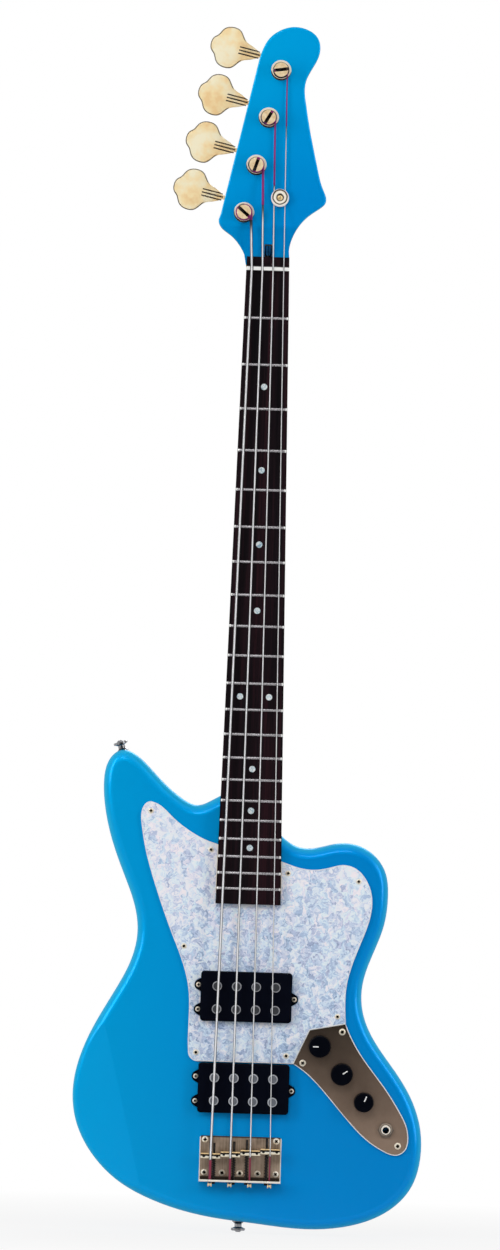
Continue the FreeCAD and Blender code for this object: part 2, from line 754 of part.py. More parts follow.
def bridge_screw_places(out):
    """Two screws at the front corners and a row along the tail."""
    side = BRIDGE_WIDTH / 2 - BRIDGE_SCREW_SIDE
    front = BRIDGE_TOP_DOWN + BRIDGE_SCREW_FRONT
    tail = BRIDGE_TOP_DOWN + BRIDGE_LENGTH - BRIDGE_SCREW_BACK
    places = [at(-side, front, out), at(side, front, out)]
    for number in range(BRIDGE_TAIL_SCREWS):
        places.append(at(side * (2 * number / (BRIDGE_TAIL_SCREWS - 1) - 1), tail, out))
    return places


def neck_screw_places(out):
    """The four neck screws at the corners of the neck plate."""
    middle = HEEL_END - NECK_PLATE_FROM_HEEL - NECK_PLATE_LENGTH / 2
    across = NECK_PLATE_WIDTH / 2 - NECK_SCREW_INSET
    along = NECK_PLATE_LENGTH / 2 - NECK_SCREW_INSET
    return [at(sx * across, middle + sy * along, out) for sx in (-1, 1) for sy in (-1, 1)]


def ear_places(pickup_down, out):
    """The screw holes in a pickup's ears: two on the bass side and one on the treble side."""
    middle = pickup_down + POLE_SHIFT
    left = PICKUP_X - PICKUP_WIDTH / 2 - EAR_SCREW_OUT
    right = PICKUP_X + PICKUP_WIDTH / 2 + EAR_SCREW_OUT
    return [at(left, middle - EAR_SPREAD / 2, out), at(left, middle + EAR_SPREAD / 2, out),
            at(right, middle, out)]


def pole_places(pickup_down, out):
    middle = pickup_down + POLE_SHIFT
    return [at(PICKUP_X + string_x(number, POLE_SPREAD), middle + row * POLE_ROWS / 2, out)
            for row in (-1, 1) for number in range(len(STRING_NAMES))]


def tuner_screw_places(number, out):
    """The four screws at the corners of a tuner's plate."""
    along, outward = post_axes()
    across = TUNER_PLATE_WIDTH / 2 - TUNER_SCREW_INSET
    low = -TUNER_PLATE_BELOW + TUNER_SCREW_INSET
    high = TUNER_PLATE_ABOVE - TUNER_SCREW_INSET
    centre = post_place(number, out)
    return [centre + outward * (side * across) + along * level for side in (-1, 1) for level in (low, high)]


def button_seats():
    """The end and horn strap buttons: where each base stands and the way its axis points."""
    tilt = math.radians(HORN_BUTTON_TILT)
    horn_axis = V(-math.sin(tilt), 0, math.cos(tilt))
    horn = on_body(HORN_BUTTON_SHARES, -BODY_THICK / 2) - horn_axis * BUTTON_SEAT
    end = V(0, 0, 0)
    return [(end, UP * -1), (horn, horn_axis)]


# Body


def ear_plan(screw, grow, low, high):
    """A round ear round a screw, whose straight flanks widen towards the pickup's side."""
    way = V(math.copysign(1, screw.x - PICKUP_X), 0, 0)
    middle = screw - way * (EAR_SCREW_OUT - EAR_OUT)
    half = EAR_BASE / 2 + grow
    reach = EAR_DIAMETER / 2 + grow
    turn = math.atan2(half, -EAR_OUT) - math.acos(reach / math.hypot(half, EAR_OUT))
    foot = middle - way * EAR_OUT
    front = middle + way * (reach * math.cos(turn))
    rise = UP * (reach * math.sin(turn))
    flanks = polygon([foot + UP * half, front + rise, front - rise, foot - UP * half])
    return Part.Face(flanks).extrude(FORWARD * (high - low)).fuse(rod(middle, FORWARD, reach, high - low))


def pickup_plan(pickup_down, grow, low, high):
    """A pickup's outline with its ears, grown all round."""
    half = PICKUP_WIDTH / 2 + grow
    solid = block(PICKUP_X - half, PICKUP_X + half, pickup_down - PICKUP_LENGTH / 2 - grow,
                  pickup_down + PICKUP_LENGTH / 2 + grow, low, high)
    solid = solid.makeFillet(PICKUP_CORNER + grow, edges_along(solid, FORWARD))
    for place in ear_places(pickup_down, low):
        solid = solid.fuse(ear_plan(place, grow, low, high))
    return solid


def neck_plan(top, bottom, grow, low, high):
    """The tapered plan of the neck between two downs, grown at its sides and end."""
    bottom = bottom + grow
    wire = polygon([
        at(-board_half(top) - grow, top, 0), at(board_half(top) + grow, top, 0),
        at(board_half(bottom) + grow, bottom, 0), at(-board_half(bottom) - grow, bottom, 0)])
    return prism(wire, low, high)


def heel_block(top, grow, low, high):
    """The square heel of the neck with its two rounded end corners."""
    solid = neck_plan(top, HEEL_END, grow, low, high)
    level = NUT_UP - HEEL_END - grow
    ends = [edge for edge in edges_along(solid, FORWARD) if abs(edge.BoundBox.ZMin - level) < FIT]
    return solid.makeFillet(POCKET_CORNER, ends)


def arm_slope(body):
    """The body with a slope for the player's forearm cut across its lower bass edge and rounded off."""
    tilt = math.radians(ARM_CONTOUR_TILT)
    turn = math.radians(ARM_CONTOUR_TURN)
    outward = V(-math.cos(turn), 0, -math.sin(turn))
    crest_way = V(math.sin(turn), 0, -math.cos(turn)) * BODY_LENGTH
    fall = (outward * math.cos(tilt) + BACKWARD * math.sin(tilt)) * BODY_LENGTH
    crest = on_body(ARM_CONTOUR_SHARES, 0)
    plane = polygon([crest - crest_way, crest + crest_way,
                     crest + crest_way + fall, crest - crest_way + fall])
    body = body.cut(Part.Face(plane).extrude(FORWARD * BODY_LENGTH))
    rims = []
    for face in body.Faces:
        flat = isinstance(face.Surface, Part.Plane)
        if flat and abs(face.normalAt(0, 0).x) > math.sin(tilt) / 2:
            rims = [edge for edge in face.Edges if not isinstance(edge.Curve, Part.Line)]
    return body.makeFillet(ARM_CONTOUR_ROUND, rims)


def make_body():
    """The solid body: rounded edges, neck pocket, pickup and control cavities and screw holes."""
    points = [on_body(share, 0) for share in BODY_SHARES]
    blank = prism(Part.Wire(spline_pieces(points, BODY_CURVE_PIECES, True)), -BODY_THICK, 0)
    body = blank.makeFillet(BODY_EDGE_ROUND, edges_at_out(blank, 0) + edges_at_out(blank, -BODY_THICK))
    body = arm_slope(body)
    body = body.cut(heel_block(HEEL_TOP - OVERRUN, LOOSE, -POCKET_DEPTH, OVERRUN))
    for down in (NECK_PICKUP_DOWN, BRIDGE_PICKUP_DOWN):
        body = body.cut(pickup_plan(down, PICKUP_GAP, PICKUP_FLOOR, OVERRUN))
        body = drilled(body, ear_places(down, 0), FORWARD, EAR_SCREW_SHANK,
                       PICKUP_SCREW_LENGTH + PICKUP_TRAVEL)
    cavity = stadium(control_place(0, 0), control_place(len(KNOB_NAMES), 0), CONTROL_CAVITY_WIDTH / 2,
                     -CONTROL_CAVITY_DEPTH, OVERRUN)
    body = body.cut(cavity)
    for base, axis in button_seats():
        seat = rod(base, axis, BUTTON_HEAD_DIAMETER / 2 + BUTTON_SEAT_MARGIN, OVERRUN)
        body = drilled(body.cut(seat), [base], axis, BUTTON_BORE_DIAMETER, BUTTON_SCREW_LENGTH)
    body = drilled(body, guard_screw_places(0) + plate_screw_places(0), FORWARD, FACE_SCREW_SHANK,
                   FACE_SCREW_LENGTH)
    body = drilled(body, bridge_screw_places(0), FORWARD, BRIDGE_SCREW_SHANK, BRIDGE_SCREW_LENGTH)
    return drilled(body, neck_screw_places(-BODY_THICK), BACKWARD, NECK_SCREW_SHANK, BODY_THICK)


# Neck, fingerboard, frets and nut


def neck_section(down, left, right, depth, squareness):
    """One slice of the neck: flat in front, round or square behind."""
    middle = (left + right) / 2
    half = (right - left) / 2
    power = 2 / squareness
    points = []
    for step in range(NECK_SECTION_STEPS + 1):
        angle = math.pi * step / NECK_SECTION_STEPS
        across = math.copysign(abs(math.cos(angle)) ** power, math.cos(angle))
        deep = abs(math.sin(angle)) ** power if 0 < step < NECK_SECTION_STEPS else 0
        points.append(at(middle + half * across, down, NECK_RISE - depth * deep))
    return Part.Wire([spline(points), line(points[-1], points[0])])


def head_wire():
    """The outline of the headstock, straight along the tuners' edge."""
    right = [at(x * HEAD_WIDTH, -up * HEAD_LENGTH, 0) for x, up in HEAD_RIGHT_SHARES]
    left = [at(x * HEAD_WIDTH, -up * HEAD_LENGTH, 0) for x, up in HEAD_LEFT_SHARES]
    edge = [right[-1] + (left[0] - right[-1]) * share for share in HEAD_EDGE_SHARES]
    outline = spline_pieces(right + edge + left, HEAD_CURVE_PIECES, False)
    return Part.Wire(outline + [line(left[-1], right[0])])


def neck_shaft():
    """The neck from the headstock's root to the heel."""
    taper_end = HEEL_TOP - HEEL_BLEND
    sections = [
        neck_section(-HEAD_BLEND, HEAD_NECK_LEFT_SHARE * HEAD_WIDTH, HEAD_NECK_RIGHT_SHARE * HEAD_WIDTH,
                     NECK_RISE - HEAD_BACK, HEAD_NECK_SQUARENESS),
        neck_section(0, -board_half(0), board_half(0), NECK_DEPTH_AT_NUT, NECK_ROUNDNESS),
        neck_section(taper_end, -board_half(taper_end), board_half(taper_end),
                     NECK_DEPTH_AT_HEEL, NECK_ROUNDNESS),
        neck_section(HEEL_TOP, -board_half(HEEL_TOP), board_half(HEEL_TOP),
                     HEEL_DEPTH - LOOSE, HEEL_SQUARENESS)]
    shaft = Part.makeLoft(sections, True, True)
    return shaft.fuse(heel_block(HEEL_TOP, 0, NECK_RISE - HEEL_DEPTH, NECK_RISE))


def headstock():
    """The flat headstock, thinned at the back where it runs into the neck."""
    plate = prism(head_wire(), HEAD_BACK, HEAD_FACE)
    rims = edges_at_out(plate, HEAD_FACE) + edges_at_out(plate, HEAD_BACK)
    rims = [edge for edge in rims if not isinstance(edge.Curve, Part.Line)]
    plate = plate.makeFillet(HEAD_EDGE_ROUND, rims)
    thin = side_profile([(-HEAD_BLEND, HEAD_BACK), (-HEAD_START, HEAD_BACK + HEAD_BACK_RISE),
                         (OVERRUN, HEAD_BACK + HEAD_BACK_RISE), (OVERRUN, HEAD_BACK - OVERRUN),
                         (-HEAD_BLEND, HEAD_BACK - OVERRUN)], HEAD_WIDTH)
    return plate.cut(thin)


def head_scoop():
    """The hollow that drops from the end of the fingerboard to the headstock's face."""
    top = at(-HEAD_WIDTH, -BOARD_BEHIND_NUT, NECK_RISE)
    foot = at(-HEAD_WIDTH, -BOARD_BEHIND_NUT - HEAD_SCOOP, HEAD_FACE)
    far = at(-HEAD_WIDTH, -HEAD_LENGTH - OVERRUN, HEAD_FACE)
    lift = FORWARD * OVERRUN
    curve = arc_from(foot, V(0, 0, -1), top)
    wire = Part.Wire([curve, line(top, top + lift), line(top + lift, far + lift), line(far + lift, far),
                      line(far, foot)])
    return Part.Face(wire).extrude(V(2 * HEAD_WIDTH, 0, 0))


def make_neck():
    """The one-piece neck with its truss rod channel, tuner holes and screw holes."""
    neck = neck_shaft().fuse(headstock()).cut(head_scoop()).removeSplitter()
    floor = NECK_RISE - TRUSS_CHANNEL_DEPTH
    channel_end = HEEL_END - TRUSS_ROD_SHORT
    neck = neck.cut(block(-TRUSS_CHANNEL_WIDTH / 2, TRUSS_CHANNEL_WIDTH / 2, -BOARD_BEHIND_NUT, channel_end,
                          floor, OVERRUN))
    neck = neck.cut(block(-TRUSS_SLOT_WIDTH / 2, TRUSS_SLOT_WIDTH / 2, -BOARD_BEHIND_NUT - TRUSS_SLOT_LENGTH,
                          -BOARD_BEHIND_NUT, floor, OVERRUN))
    for number in range(len(STRING_NAMES)):
        hole = rod(post_place(number, OVERRUN), BACKWARD, BUSHING_SLEEVE_DIAMETER / 2 + FIT, 2 * BODY_THICK)
        neck = neck.cut(hole)
        neck = drilled(neck, tuner_screw_places(number, HEAD_BACK), BACKWARD, SMALL_SCREW_SHANK,
                       SMALL_SCREW_LENGTH)
    retainer = at(RETAINER_X, -RETAINER_ABOVE_NUT, HEAD_FACE)
    neck = drilled(neck, [retainer], FORWARD, FACE_SCREW_SHANK, FACE_SCREW_LENGTH)
    return drilled(neck, neck_screw_places(-BODY_THICK), BACKWARD, NECK_SCREW_SHANK, NECK_SCREW_LENGTH)


def crown_solid(rise):
    """The round bar whose surface is the fingerboard's top, raised by a distance."""
    low = at(0, BOARD_LENGTH + OVERRUN, BOARD_TOP - BOARD_RADIUS)
    return rod(low, UP, BOARD_RADIUS + rise, BOARD_LENGTH + BOARD_BEHIND_NUT + 2 * OVERRUN)


def fret_down(number):
    return SCALE * (1 - 2 ** (-number / 12))


def swept_across(wire, down, half_width):
    """A section at the crest swept round the fingerboard's curve to a half width on each side."""
    angle = math.degrees(math.asin(half_width / BOARD_RADIUS))
    axis = at(0, down, BOARD_TOP - BOARD_RADIUS)
    face = Part.Face(wire)
    face.rotate(axis, UP, -angle)
    return face.revolve(axis, UP, 2 * angle)


def fret(number):
    """A fret: a round crown with a tang below it."""
    down = fret_down(number)
    half = FRET_WIDTH / 2
    tang = FRET_TANG_WIDTH / 2
    crown = Part.Arc(at(0, down - half, BOARD_TOP), at(0, down, BOARD_TOP + FRET_HEIGHT),
                     at(0, down + half, BOARD_TOP)).toShape()
    corners = [at(0, down + half, BOARD_TOP), at(0, down + tang, BOARD_TOP),
               at(0, down + tang, BOARD_TOP - FRET_TANG_DEPTH),
               at(0, down - tang, BOARD_TOP - FRET_TANG_DEPTH),
               at(0, down - tang, BOARD_TOP), at(0, down - half, BOARD_TOP)]
    sides = [line(a, b) for a, b in zip(corners, corners[1:])]
    return swept_across(Part.Wire([crown] + sides), down, board_half(down) - FRET_END_GAP)


def fret_slot(number):
    """The saw cut that takes a fret's tang."""
    down = fret_down(number)
    half = FRET_TANG_WIDTH / 2 + FIT
    floor = BOARD_TOP - FRET_TANG_DEPTH - FIT
    wire = polygon([at(0, down - half, floor), at(0, down + half, floor),
                    at(0, down + half, BOARD_TOP + FRET_HEIGHT),
                    at(0, down - half, BOARD_TOP + FRET_HEIGHT)])
    return swept_across(wire, down, board_half(down) + FRET_WIDTH)


def dot_pins():
    """Pins that mark the position dots on the face and along the bass edge of the fingerboard."""
    middles = [(0, number) for number in DOT_FRETS]
    middles += [(-DOUBLE_DOT_SPREAD / 2, DOUBLE_DOT_FRET), (DOUBLE_DOT_SPREAD / 2, DOUBLE_DOT_FRET)]
    pins = []
    for x, number in middles:
        down = (fret_down(number - 1) + fret_down(number)) / 2
        floor = BOARD_TOP - crown_drop(x) - DOT_DEPTH
        pins.append(rod(at(x, down, floor), FORWARD, DOT_DIAMETER / 2, DOT_DEPTH + BOARD_THICK))
    side_level = NECK_RISE + BOARD_THICK / 2
    for number in DOT_FRETS + (DOUBLE_DOT_FRET,):
        down = (fret_down(number - 1) + fret_down(number)) / 2
        shifts = (-SIDE_DOT_SPREAD / 2, SIDE_DOT_SPREAD / 2) if number == DOUBLE_DOT_FRET else (0,)
        for shift in shifts:
            start = at(-board_half(down) + SIDE_DOT_DEPTH, down + shift, side_level)
            pins.append(rod(start, V(-1, 0, 0), SIDE_DOT_DIAMETER / 2, SIDE_DOT_DEPTH * 2))
    return pins


def board_blank():
    """The fingerboard with its round top and the slope behind the nut."""
    plan = neck_plan(-BOARD_BEHIND_NUT, BOARD_LENGTH, 0, NECK_RISE, BOARD_TOP)
    plan = plan.common(crown_solid(0))
    back = -NUT_THICK / 2
    slope = side_profile([(back, BOARD_TOP), (-BOARD_BEHIND_NUT, BOARD_TOP - BOARD_BACK_SLOPE),
                          (-BOARD_BEHIND_NUT - OVERRUN, BOARD_TOP - BOARD_BACK_SLOPE),
                          (-BOARD_BEHIND_NUT - OVERRUN, BOARD_TOP + OVERRUN),
                          (back, BOARD_TOP + OVERRUN)], NUT_WIDTH)
    return plan.cut(slope)


def make_fingerboard_and_dots():
    """The slotted fingerboard and the dots let into it."""
    board = board_blank()
    dots = [pin.common(board) for pin in dot_pins()]
    for pin in dot_pins():
        board = board.cut(pin)
    for number in range(1, FRETS + 1):
        board = board.cut(fret_slot(number))
    seat = block(-NUT_WIDTH, NUT_WIDTH, -NUT_THICK / 2, NUT_THICK / 2,
                 BOARD_TOP - NUT_SEAT, BOARD_TOP + OVERRUN)
    return board.cut(seat), dots


def make_nut():
    """The slotted nut in its seat across the fingerboard."""
    nut = neck_plan(-NUT_THICK / 2, NUT_THICK / 2, 0, BOARD_TOP - NUT_SEAT, BOARD_TOP + NUT_LIP)
    nut = nut.common(crown_solid(NUT_LIP))
    for number in range(len(STRING_NAMES)):
        radius = STRING_DIAMETERS[number] / 2
        points = string_points(number)
        middle = nut_place(number)
        floor = FRONT_Y - middle.y - radius - FIT
        profile = [(0, floor)]
        for far, side in ((points[1], NUT_THICK), (points[3], -NUT_THICK)):
            way = far - middle
            profile.append((side, floor - way.y / abs(way.z) * NUT_THICK))
        ceiling = BOARD_TOP + OVERRUN
        profile = [profile[2], profile[0], profile[1], (NUT_THICK, ceiling), (-NUT_THICK, ceiling)]
        slot = side_profile(profile, radius + LOOSE)
        slot.translate(V(middle.x, 0, 0))
        nut = nut.cut(slot)
    return nut


def make_truss_rod():
    """The steel rod under the fingerboard with its anchor at the heel."""
    level = NECK_RISE - TRUSS_ROD_BELOW
    top = -BOARD_BEHIND_NUT - TRUSS_SLOT_LENGTH / 2
    bottom = HEEL_END - TRUSS_ROD_SHORT - LOOSE
    bar = rod(at(0, bottom, level), UP, TRUSS_ROD_DIAMETER / 2, bottom - top)
    half = TRUSS_CHANNEL_WIDTH / 2 - FIT
    anchor = block(-half, half, bottom - TRUSS_ANCHOR_LENGTH, bottom, NECK_RISE - TRUSS_CHANNEL_DEPTH + FIT,
                   NECK_RISE - FIT)
    return bar.fuse(anchor)


def make_truss_nut():
    """The barrel nut in the slot at the headstock, with a socket for a key."""
    level = NECK_RISE - TRUSS_ROD_BELOW
    start = -BOARD_BEHIND_NUT - (TRUSS_SLOT_LENGTH - TRUSS_NUT_LENGTH) / 2
    base = at(0, start, level)
    nut = rod(base, UP, TRUSS_NUT_DIAMETER / 2, TRUSS_NUT_LENGTH)
    bore = rod(base - UP * OVERRUN, UP, TRUSS_ROD_DIAMETER / 2 + FIT, OVERRUN + TRUSS_NUT_LENGTH / 2 + LOOSE)
    nut = nut.cut(bore)
    across = TRUSS_SOCKET
    socket = placed(hexagon(across, OVERRUN, FIT), base + UP * (TRUSS_NUT_LENGTH / 2 + 2 * LOOSE), UP)
    return nut.cut(socket)


# Tuners


def make_bushings():
    """A flanged bushing in each tuner hole, on the headstock's face."""
    flange = BUSHING_DIAMETER / 2
    sleeve = BUSHING_SLEEVE_DIAMETER / 2
    bore = POST_SHAFT_DIAMETER / 2 + FIT
    profile = [(bore, -BUSHING_SLEEVE), (sleeve, -BUSHING_SLEEVE), (sleeve, 0), (flange, 0),
               (flange, BUSHING_FLANGE / 2), (flange - BUSHING_FLANGE / 2, BUSHING_FLANGE),
               (bore, BUSHING_FLANGE)]
    return [turned(profile, post_place(number, HEAD_FACE), FORWARD) for number in range(len(STRING_NAMES))]


def tuner_local(number, shape):
    """A shape made with X along the posts' row, Z out along the key and Y behind, put at a worm's middle."""
    along, outward = post_axes()
    base = worm_place(number, 0)
    rotation = FreeCAD.Rotation(along, BACKWARD, outward)
    copy = shape.copy()
    copy.Placement = FreeCAD.Placement(base, rotation)
    return copy


def make_tuner_plates():
    """The back plate of each tuner, with two bent ears that carry the key's worm."""
    top = TUNER_PLATE_ABOVE - TUNER_CENTRES
    bottom = -TUNER_PLATE_BELOW - TUNER_CENTRES
    half = TUNER_PLATE_WIDTH / 2
    low = -WORM_OVER_PLATE - TUNER_PLATE_THICK
    sheet = Part.makeBox(top - bottom, TUNER_PLATE_THICK, TUNER_PLATE_WIDTH, V(bottom, low, -half))
    sheet = sheet.makeFillet(TUNER_PLATE_CORNER, edges_along(sheet, BACKWARD))
    tall = WORM_OVER_PLATE + EAR_WIDTH / 2
    for side in (-1, 1):
        middle = side * (EAR_SPACE + EAR_THICK) / 2
        corner = V(-EAR_WIDTH / 2, -WORM_OVER_PLATE, middle - EAR_THICK / 2)
        ear = Part.makeBox(EAR_WIDTH, tall, EAR_THICK, corner)
        outer = [edge for edge in edges_along(ear, UP) if edge.BoundBox.YMax > 0]
        ear = ear.makeFillet(EAR_WIDTH / 3, outer)
        sheet = sheet.fuse(ear)
    bore = rod(V(0, 0, -TUNER_PLATE_WIDTH), UP, WORM_CORE_RADIUS + FIT, 2 * TUNER_PLATE_WIDTH)
    post_hole = rod(V(-TUNER_CENTRES, -OVERRUN, 0), BACKWARD, POST_SHAFT_DIAMETER / 2 + FIT, OVERRUN)
    sheet = sheet.cut(bore).cut(post_hole)
    plates = []
    for number in range(len(STRING_NAMES)):
        plate = tuner_local(number, sheet)
        screws = tuner_screw_places(number, HEAD_BACK)
        plates.append(drilled(plate, screws, BACKWARD, SMALL_SCREW_SHANK, OVERRUN))
    return plates


def worm_shaft():
    """The key's shaft with its worm thread, along local Z."""
    low = -EAR_SPACE / 2 - EAR_THICK - LOOSE
    high = EDGE_TO_POST + KEY_COLLAR_GAP + KEY_COLLAR_LENGTH
    shaft = rod(V(0, 0, low), UP, WORM_CORE_RADIUS, high - low)
    tall = WORM_PITCH * WORM_TURNS
    slant = math.tan(math.radians(TOOTH_FLANK_TILT))
    depth = WORM_CREST_RADIUS - WORM_CORE_RADIUS + FIT
    crest = WORM_CREST_WIDTH / 2
    root = crest + depth * slant
    inner = WORM_CREST_RADIUS - depth
    path = Part.Wire(Part.makeHelix(WORM_PITCH, tall, inner))
    profile = polygon([V(inner, 0, -root), V(WORM_CREST_RADIUS, 0, -crest), V(WORM_CREST_RADIUS, 0, crest),
                       V(inner, 0, root)])
    thread = path.makePipeShell([profile], True, True)
    thread.translate(V(0, 0, -tall / 2))
    return shaft.fuse(thread)


def key_leaf():
    """The three-lobed leaf of a tuning key with its grooved collar, along local Z."""
    start = EDGE_TO_POST + KEY_COLLAR_GAP
    neck_end = start + KEY_COLLAR_LENGTH * KEY_LEAF_ROOT_SHARE
    right = [V(across * KEY_LEAF_WIDTH, 0, neck_end + reach * KEY_LEAF_LENGTH)
             for reach, across in KEY_LEAF_SHARES]
    left = [V(-point.x, 0, point.z) for point in reversed(right)]
    tip = V(0, 0, neck_end + KEY_LEAF_LENGTH)
    edge = spline(right + [tip] + left)
    leaf = Part.Face(Part.Wire([edge, line(left[-1], right[0])])).extrude(V(0, KEY_LEAF_THICK, 0))
    leaf.translate(V(0, -KEY_LEAF_THICK / 2, 0))
    rims = [rim for rim in leaf.Edges if isinstance(rim.Curve, Part.BSplineCurve)]
    leaf = leaf.makeFillet(KEY_LEAF_ROUND, rims)
    radius = KEY_COLLAR_DIAMETER / 2
    collar = Part.makeCone(radius * KEY_COLLAR_TAPER_SHARE, radius, KEY_COLLAR_LENGTH, V(0, 0, start), UP)
    thick = KEY_LEAF_THICK * KEY_COLLAR_FLAT_SHARE
    flat = Part.makeBox(KEY_COLLAR_DIAMETER, thick, KEY_COLLAR_LENGTH, V(-radius, -thick / 2, start))
    collar = collar.common(flat)
    level = KEY_LEAF_THICK * KEY_GROOVE_LEVEL_SHARE
    for share in KEY_GROOVE_SHARES:
        middle = share * radius
        corner = V(middle - KEY_COLLAR_GROOVE / 2, level, start - OVERRUN / 2)
        cut = Part.makeBox(KEY_COLLAR_GROOVE, OVERRUN, KEY_COLLAR_LENGTH * 2, corner)
        collar = collar.cut(cut)
        cut.translate(V(0, -OVERRUN - 2 * level, 0))
        collar = collar.cut(cut)
    return leaf.fuse(collar)


def make_keys():
    """The four tuning keys, each a leaf on a shaft with a worm."""
    bore = rod(V(0, 0, 0), UP, WORM_CORE_RADIUS, EDGE_TO_POST + KEY_COLLAR_GAP + KEY_COLLAR_LENGTH)
    leaf = key_leaf().cut(bore)
    shaft = worm_shaft()
    return [Part.Compound([tuner_local(number, leaf), tuner_local(number, shaft)])
            for number in range(len(STRING_NAMES))]


def gear():
    """The worm gear on a post, made round +Z with a tooth gap towards +X."""
    tip = TUNER_CENTRES - WORM_CORE_RADIUS - GEAR_TIP_GAP
    root = TUNER_CENTRES - WORM_CREST_RADIUS - GEAR_ROOT_GAP
    slant = math.tan(math.radians(TOOTH_FLANK_TILT))
    tip_half = TOOTH_TIP_WIDTH / 2
    root_half = tip_half + (tip - root) * slant
    points = []
    for tooth in range(GEAR_TEETH):
        middle = 2 * math.pi * (tooth + 1 / 2) / GEAR_TEETH
        for radius, half in ((root, -root_half), (tip, -tip_half), (tip, tip_half), (root, root_half)):
            angle = middle + half / radius
            points.append(V(radius * math.cos(angle), radius * math.sin(angle), 0))
    return Part.Face(polygon(points)).extrude(V(0, 0, GEAR_THICK))


def make_posts():
    """The four string posts, each with a slotted head in front and a gear and its screw behind."""
    along, outward = post_axes()
    shaft = POST_SHAFT_DIAMETER / 2
    barrel = POST_BARREL_DIAMETER / 2
    head = POST_HEAD_DIAMETER / 2
    gear_front = WORM_OUT + GEAR_THICK / 2
    shoulder = BUSHING_FLANGE + LOOSE / 2
    neck_end = POST_HEIGHT - POST_HEAD_HEIGHT
    back = gear_front - GEAR_THICK - HEAD_FACE
    profile = [(0, back), (shaft / 2, back), (shaft / 2, back + GEAR_THICK), (shaft, back + GEAR_THICK),
               (shaft, shoulder), (barrel, shoulder), (barrel, neck_end - head + barrel), (head, neck_end),
               (head, POST_HEIGHT - LOOSE), (head - LOOSE, POST_HEIGHT), (0, POST_HEIGHT)]
    wheel = gear().cut(rod(V(0, 0, -OVERRUN), UP, shaft / 2, 2 * OVERRUN))
    screw = cross_screw(GEAR_SCREW_DIAMETER, SMALL_SCREW_DOME, SMALL_SCREW_SHANK, GEAR_THICK)
    posts = []
    for number in range(len(STRING_NAMES)):
        base = post_place(number, HEAD_FACE)
        post = turned(profile, base, FORWARD)
        foot = post_place(number, gear_front - GEAR_THICK)
        post = drilled(post, [foot], BACKWARD, SMALL_SCREW_SHANK, GEAR_THICK)
        slot = Part.makeBox(2 * POST_HEAD_DIAMETER, POST_SLOT_WIDTH, POST_SLOT_DEPTH + OVERRUN,
                            V(-POST_HEAD_DIAMETER, -POST_SLOT_WIDTH / 2, POST_HEIGHT - POST_SLOT_DEPTH))
        turn = FreeCAD.Rotation(BACKWARD, -POST_SLOT_TURNS[number])
        slot.Placement = FreeCAD.Placement(base, turn.multiply(FreeCAD.Rotation(V(1, 0, 0), 90)))
        post = post.cut(slot)
        wheel_copy = wheel.copy()
        wheel_turn = FreeCAD.Rotation(along, along.cross(BACKWARD) * -1, BACKWARD)
        wheel_copy.Placement = FreeCAD.Placement(post_place(number, gear_front), wheel_turn)
        head_screw = placed(screw, foot, BACKWARD)
        posts.append(Part.Compound([post, wheel_copy, head_screw]))
    return posts


def make_retainer():
    """The round string retainer: a flange on a stem that holds two strings down."""
    stem = RETAINER_STEM_DIAMETER / 2
    flange = RETAINER_DIAMETER / 2
    top = RETAINER_STEM + RETAINER_FLANGE
    bore = FACE_SCREW_SHANK / 2 + FIT
    profile = [(bore, 0), (stem, 0), (stem, RETAINER_STEM), (flange, RETAINER_STEM),
               (flange, top - RETAINER_FLANGE / 2), (flange - RETAINER_FLANGE / 2, top), (bore, top)]
    return turned(profile, at(RETAINER_X, -RETAINER_ABOVE_NUT, HEAD_FACE), FORWARD)


def make_headstock_screws():
    """The sixteen screws of the tuner plates and the one through the string retainer."""
    small = cross_screw(SMALL_SCREW_HEAD, SMALL_SCREW_DOME, SMALL_SCREW_SHANK, SMALL_SCREW_LENGTH)
    back = HEAD_BACK - TUNER_PLATE_THICK
    screws = []
    for number in range(len(STRING_NAMES)):
        screws += screw_row(small, tuner_screw_places(number, back), BACKWARD)
    top = RETAINER_UNDER + RETAINER_FLANGE
    centre = cross_screw(FACE_SCREW_HEAD, FACE_SCREW_DOME, FACE_SCREW_SHANK,
                         FACE_SCREW_LENGTH + RETAINER_STEM + RETAINER_FLANGE - LOOSE)
    return screws + [placed(centre, at(RETAINER_X, -RETAINER_ABOVE_NUT, top), FORWARD)]


# Strings


def string_points(number):
    """A string's corners from its ball to the lead into its winding."""
    radius = STRING_DIAMETERS[number] / 2
    x = string_x(number, SADDLE_SPREAD)
    ball = at(x, LIP_DOWN + BRIDGE_PLATE + 2 * LOOSE, STRING_LIP_HEIGHT)
    points = [ball, saddle_place(number), nut_place(number)]
    touch, heading, centre = winding_start(number)
    held = STRING_NAMES[number] in ("d", "g")
    if held:
        above = RETAINER_ABOVE_NUT - RETAINER_DIAMETER / 2
        share = above / (touch.z - NUT_UP)
        held_x = points[-1].x + (touch.x - points[-1].x) * share
        points.append(at(held_x, -above, RETAINER_UNDER - radius - LOOSE))
    last = points[-1]
    way = unit(touch - last)
    points.append(touch - way * WINDING_LEAD)
    return points


def winding_radius(number):
    return POST_BARREL_DIAMETER / 2 + LOOSE + STRING_DIAMETERS[number] / 2


def winding_start(number):
    """Where a string meets its post: the point, its angle round the post and the winding's centre."""
    low = HEAD_FACE + BUSHING_FLANGE + LOOSE + STRING_DIAMETERS[number] / 2
    centre = post_place(number, low)
    away = nut_place(number) - centre
    flat = V(away.x, 0, away.z)
    radius = winding_radius(number)
    angle = math.atan2(flat.z, flat.x) + math.acos(radius / flat.Length)
    touch = centre + V(math.cos(angle), 0, math.sin(angle)) * radius
    return touch, angle, centre


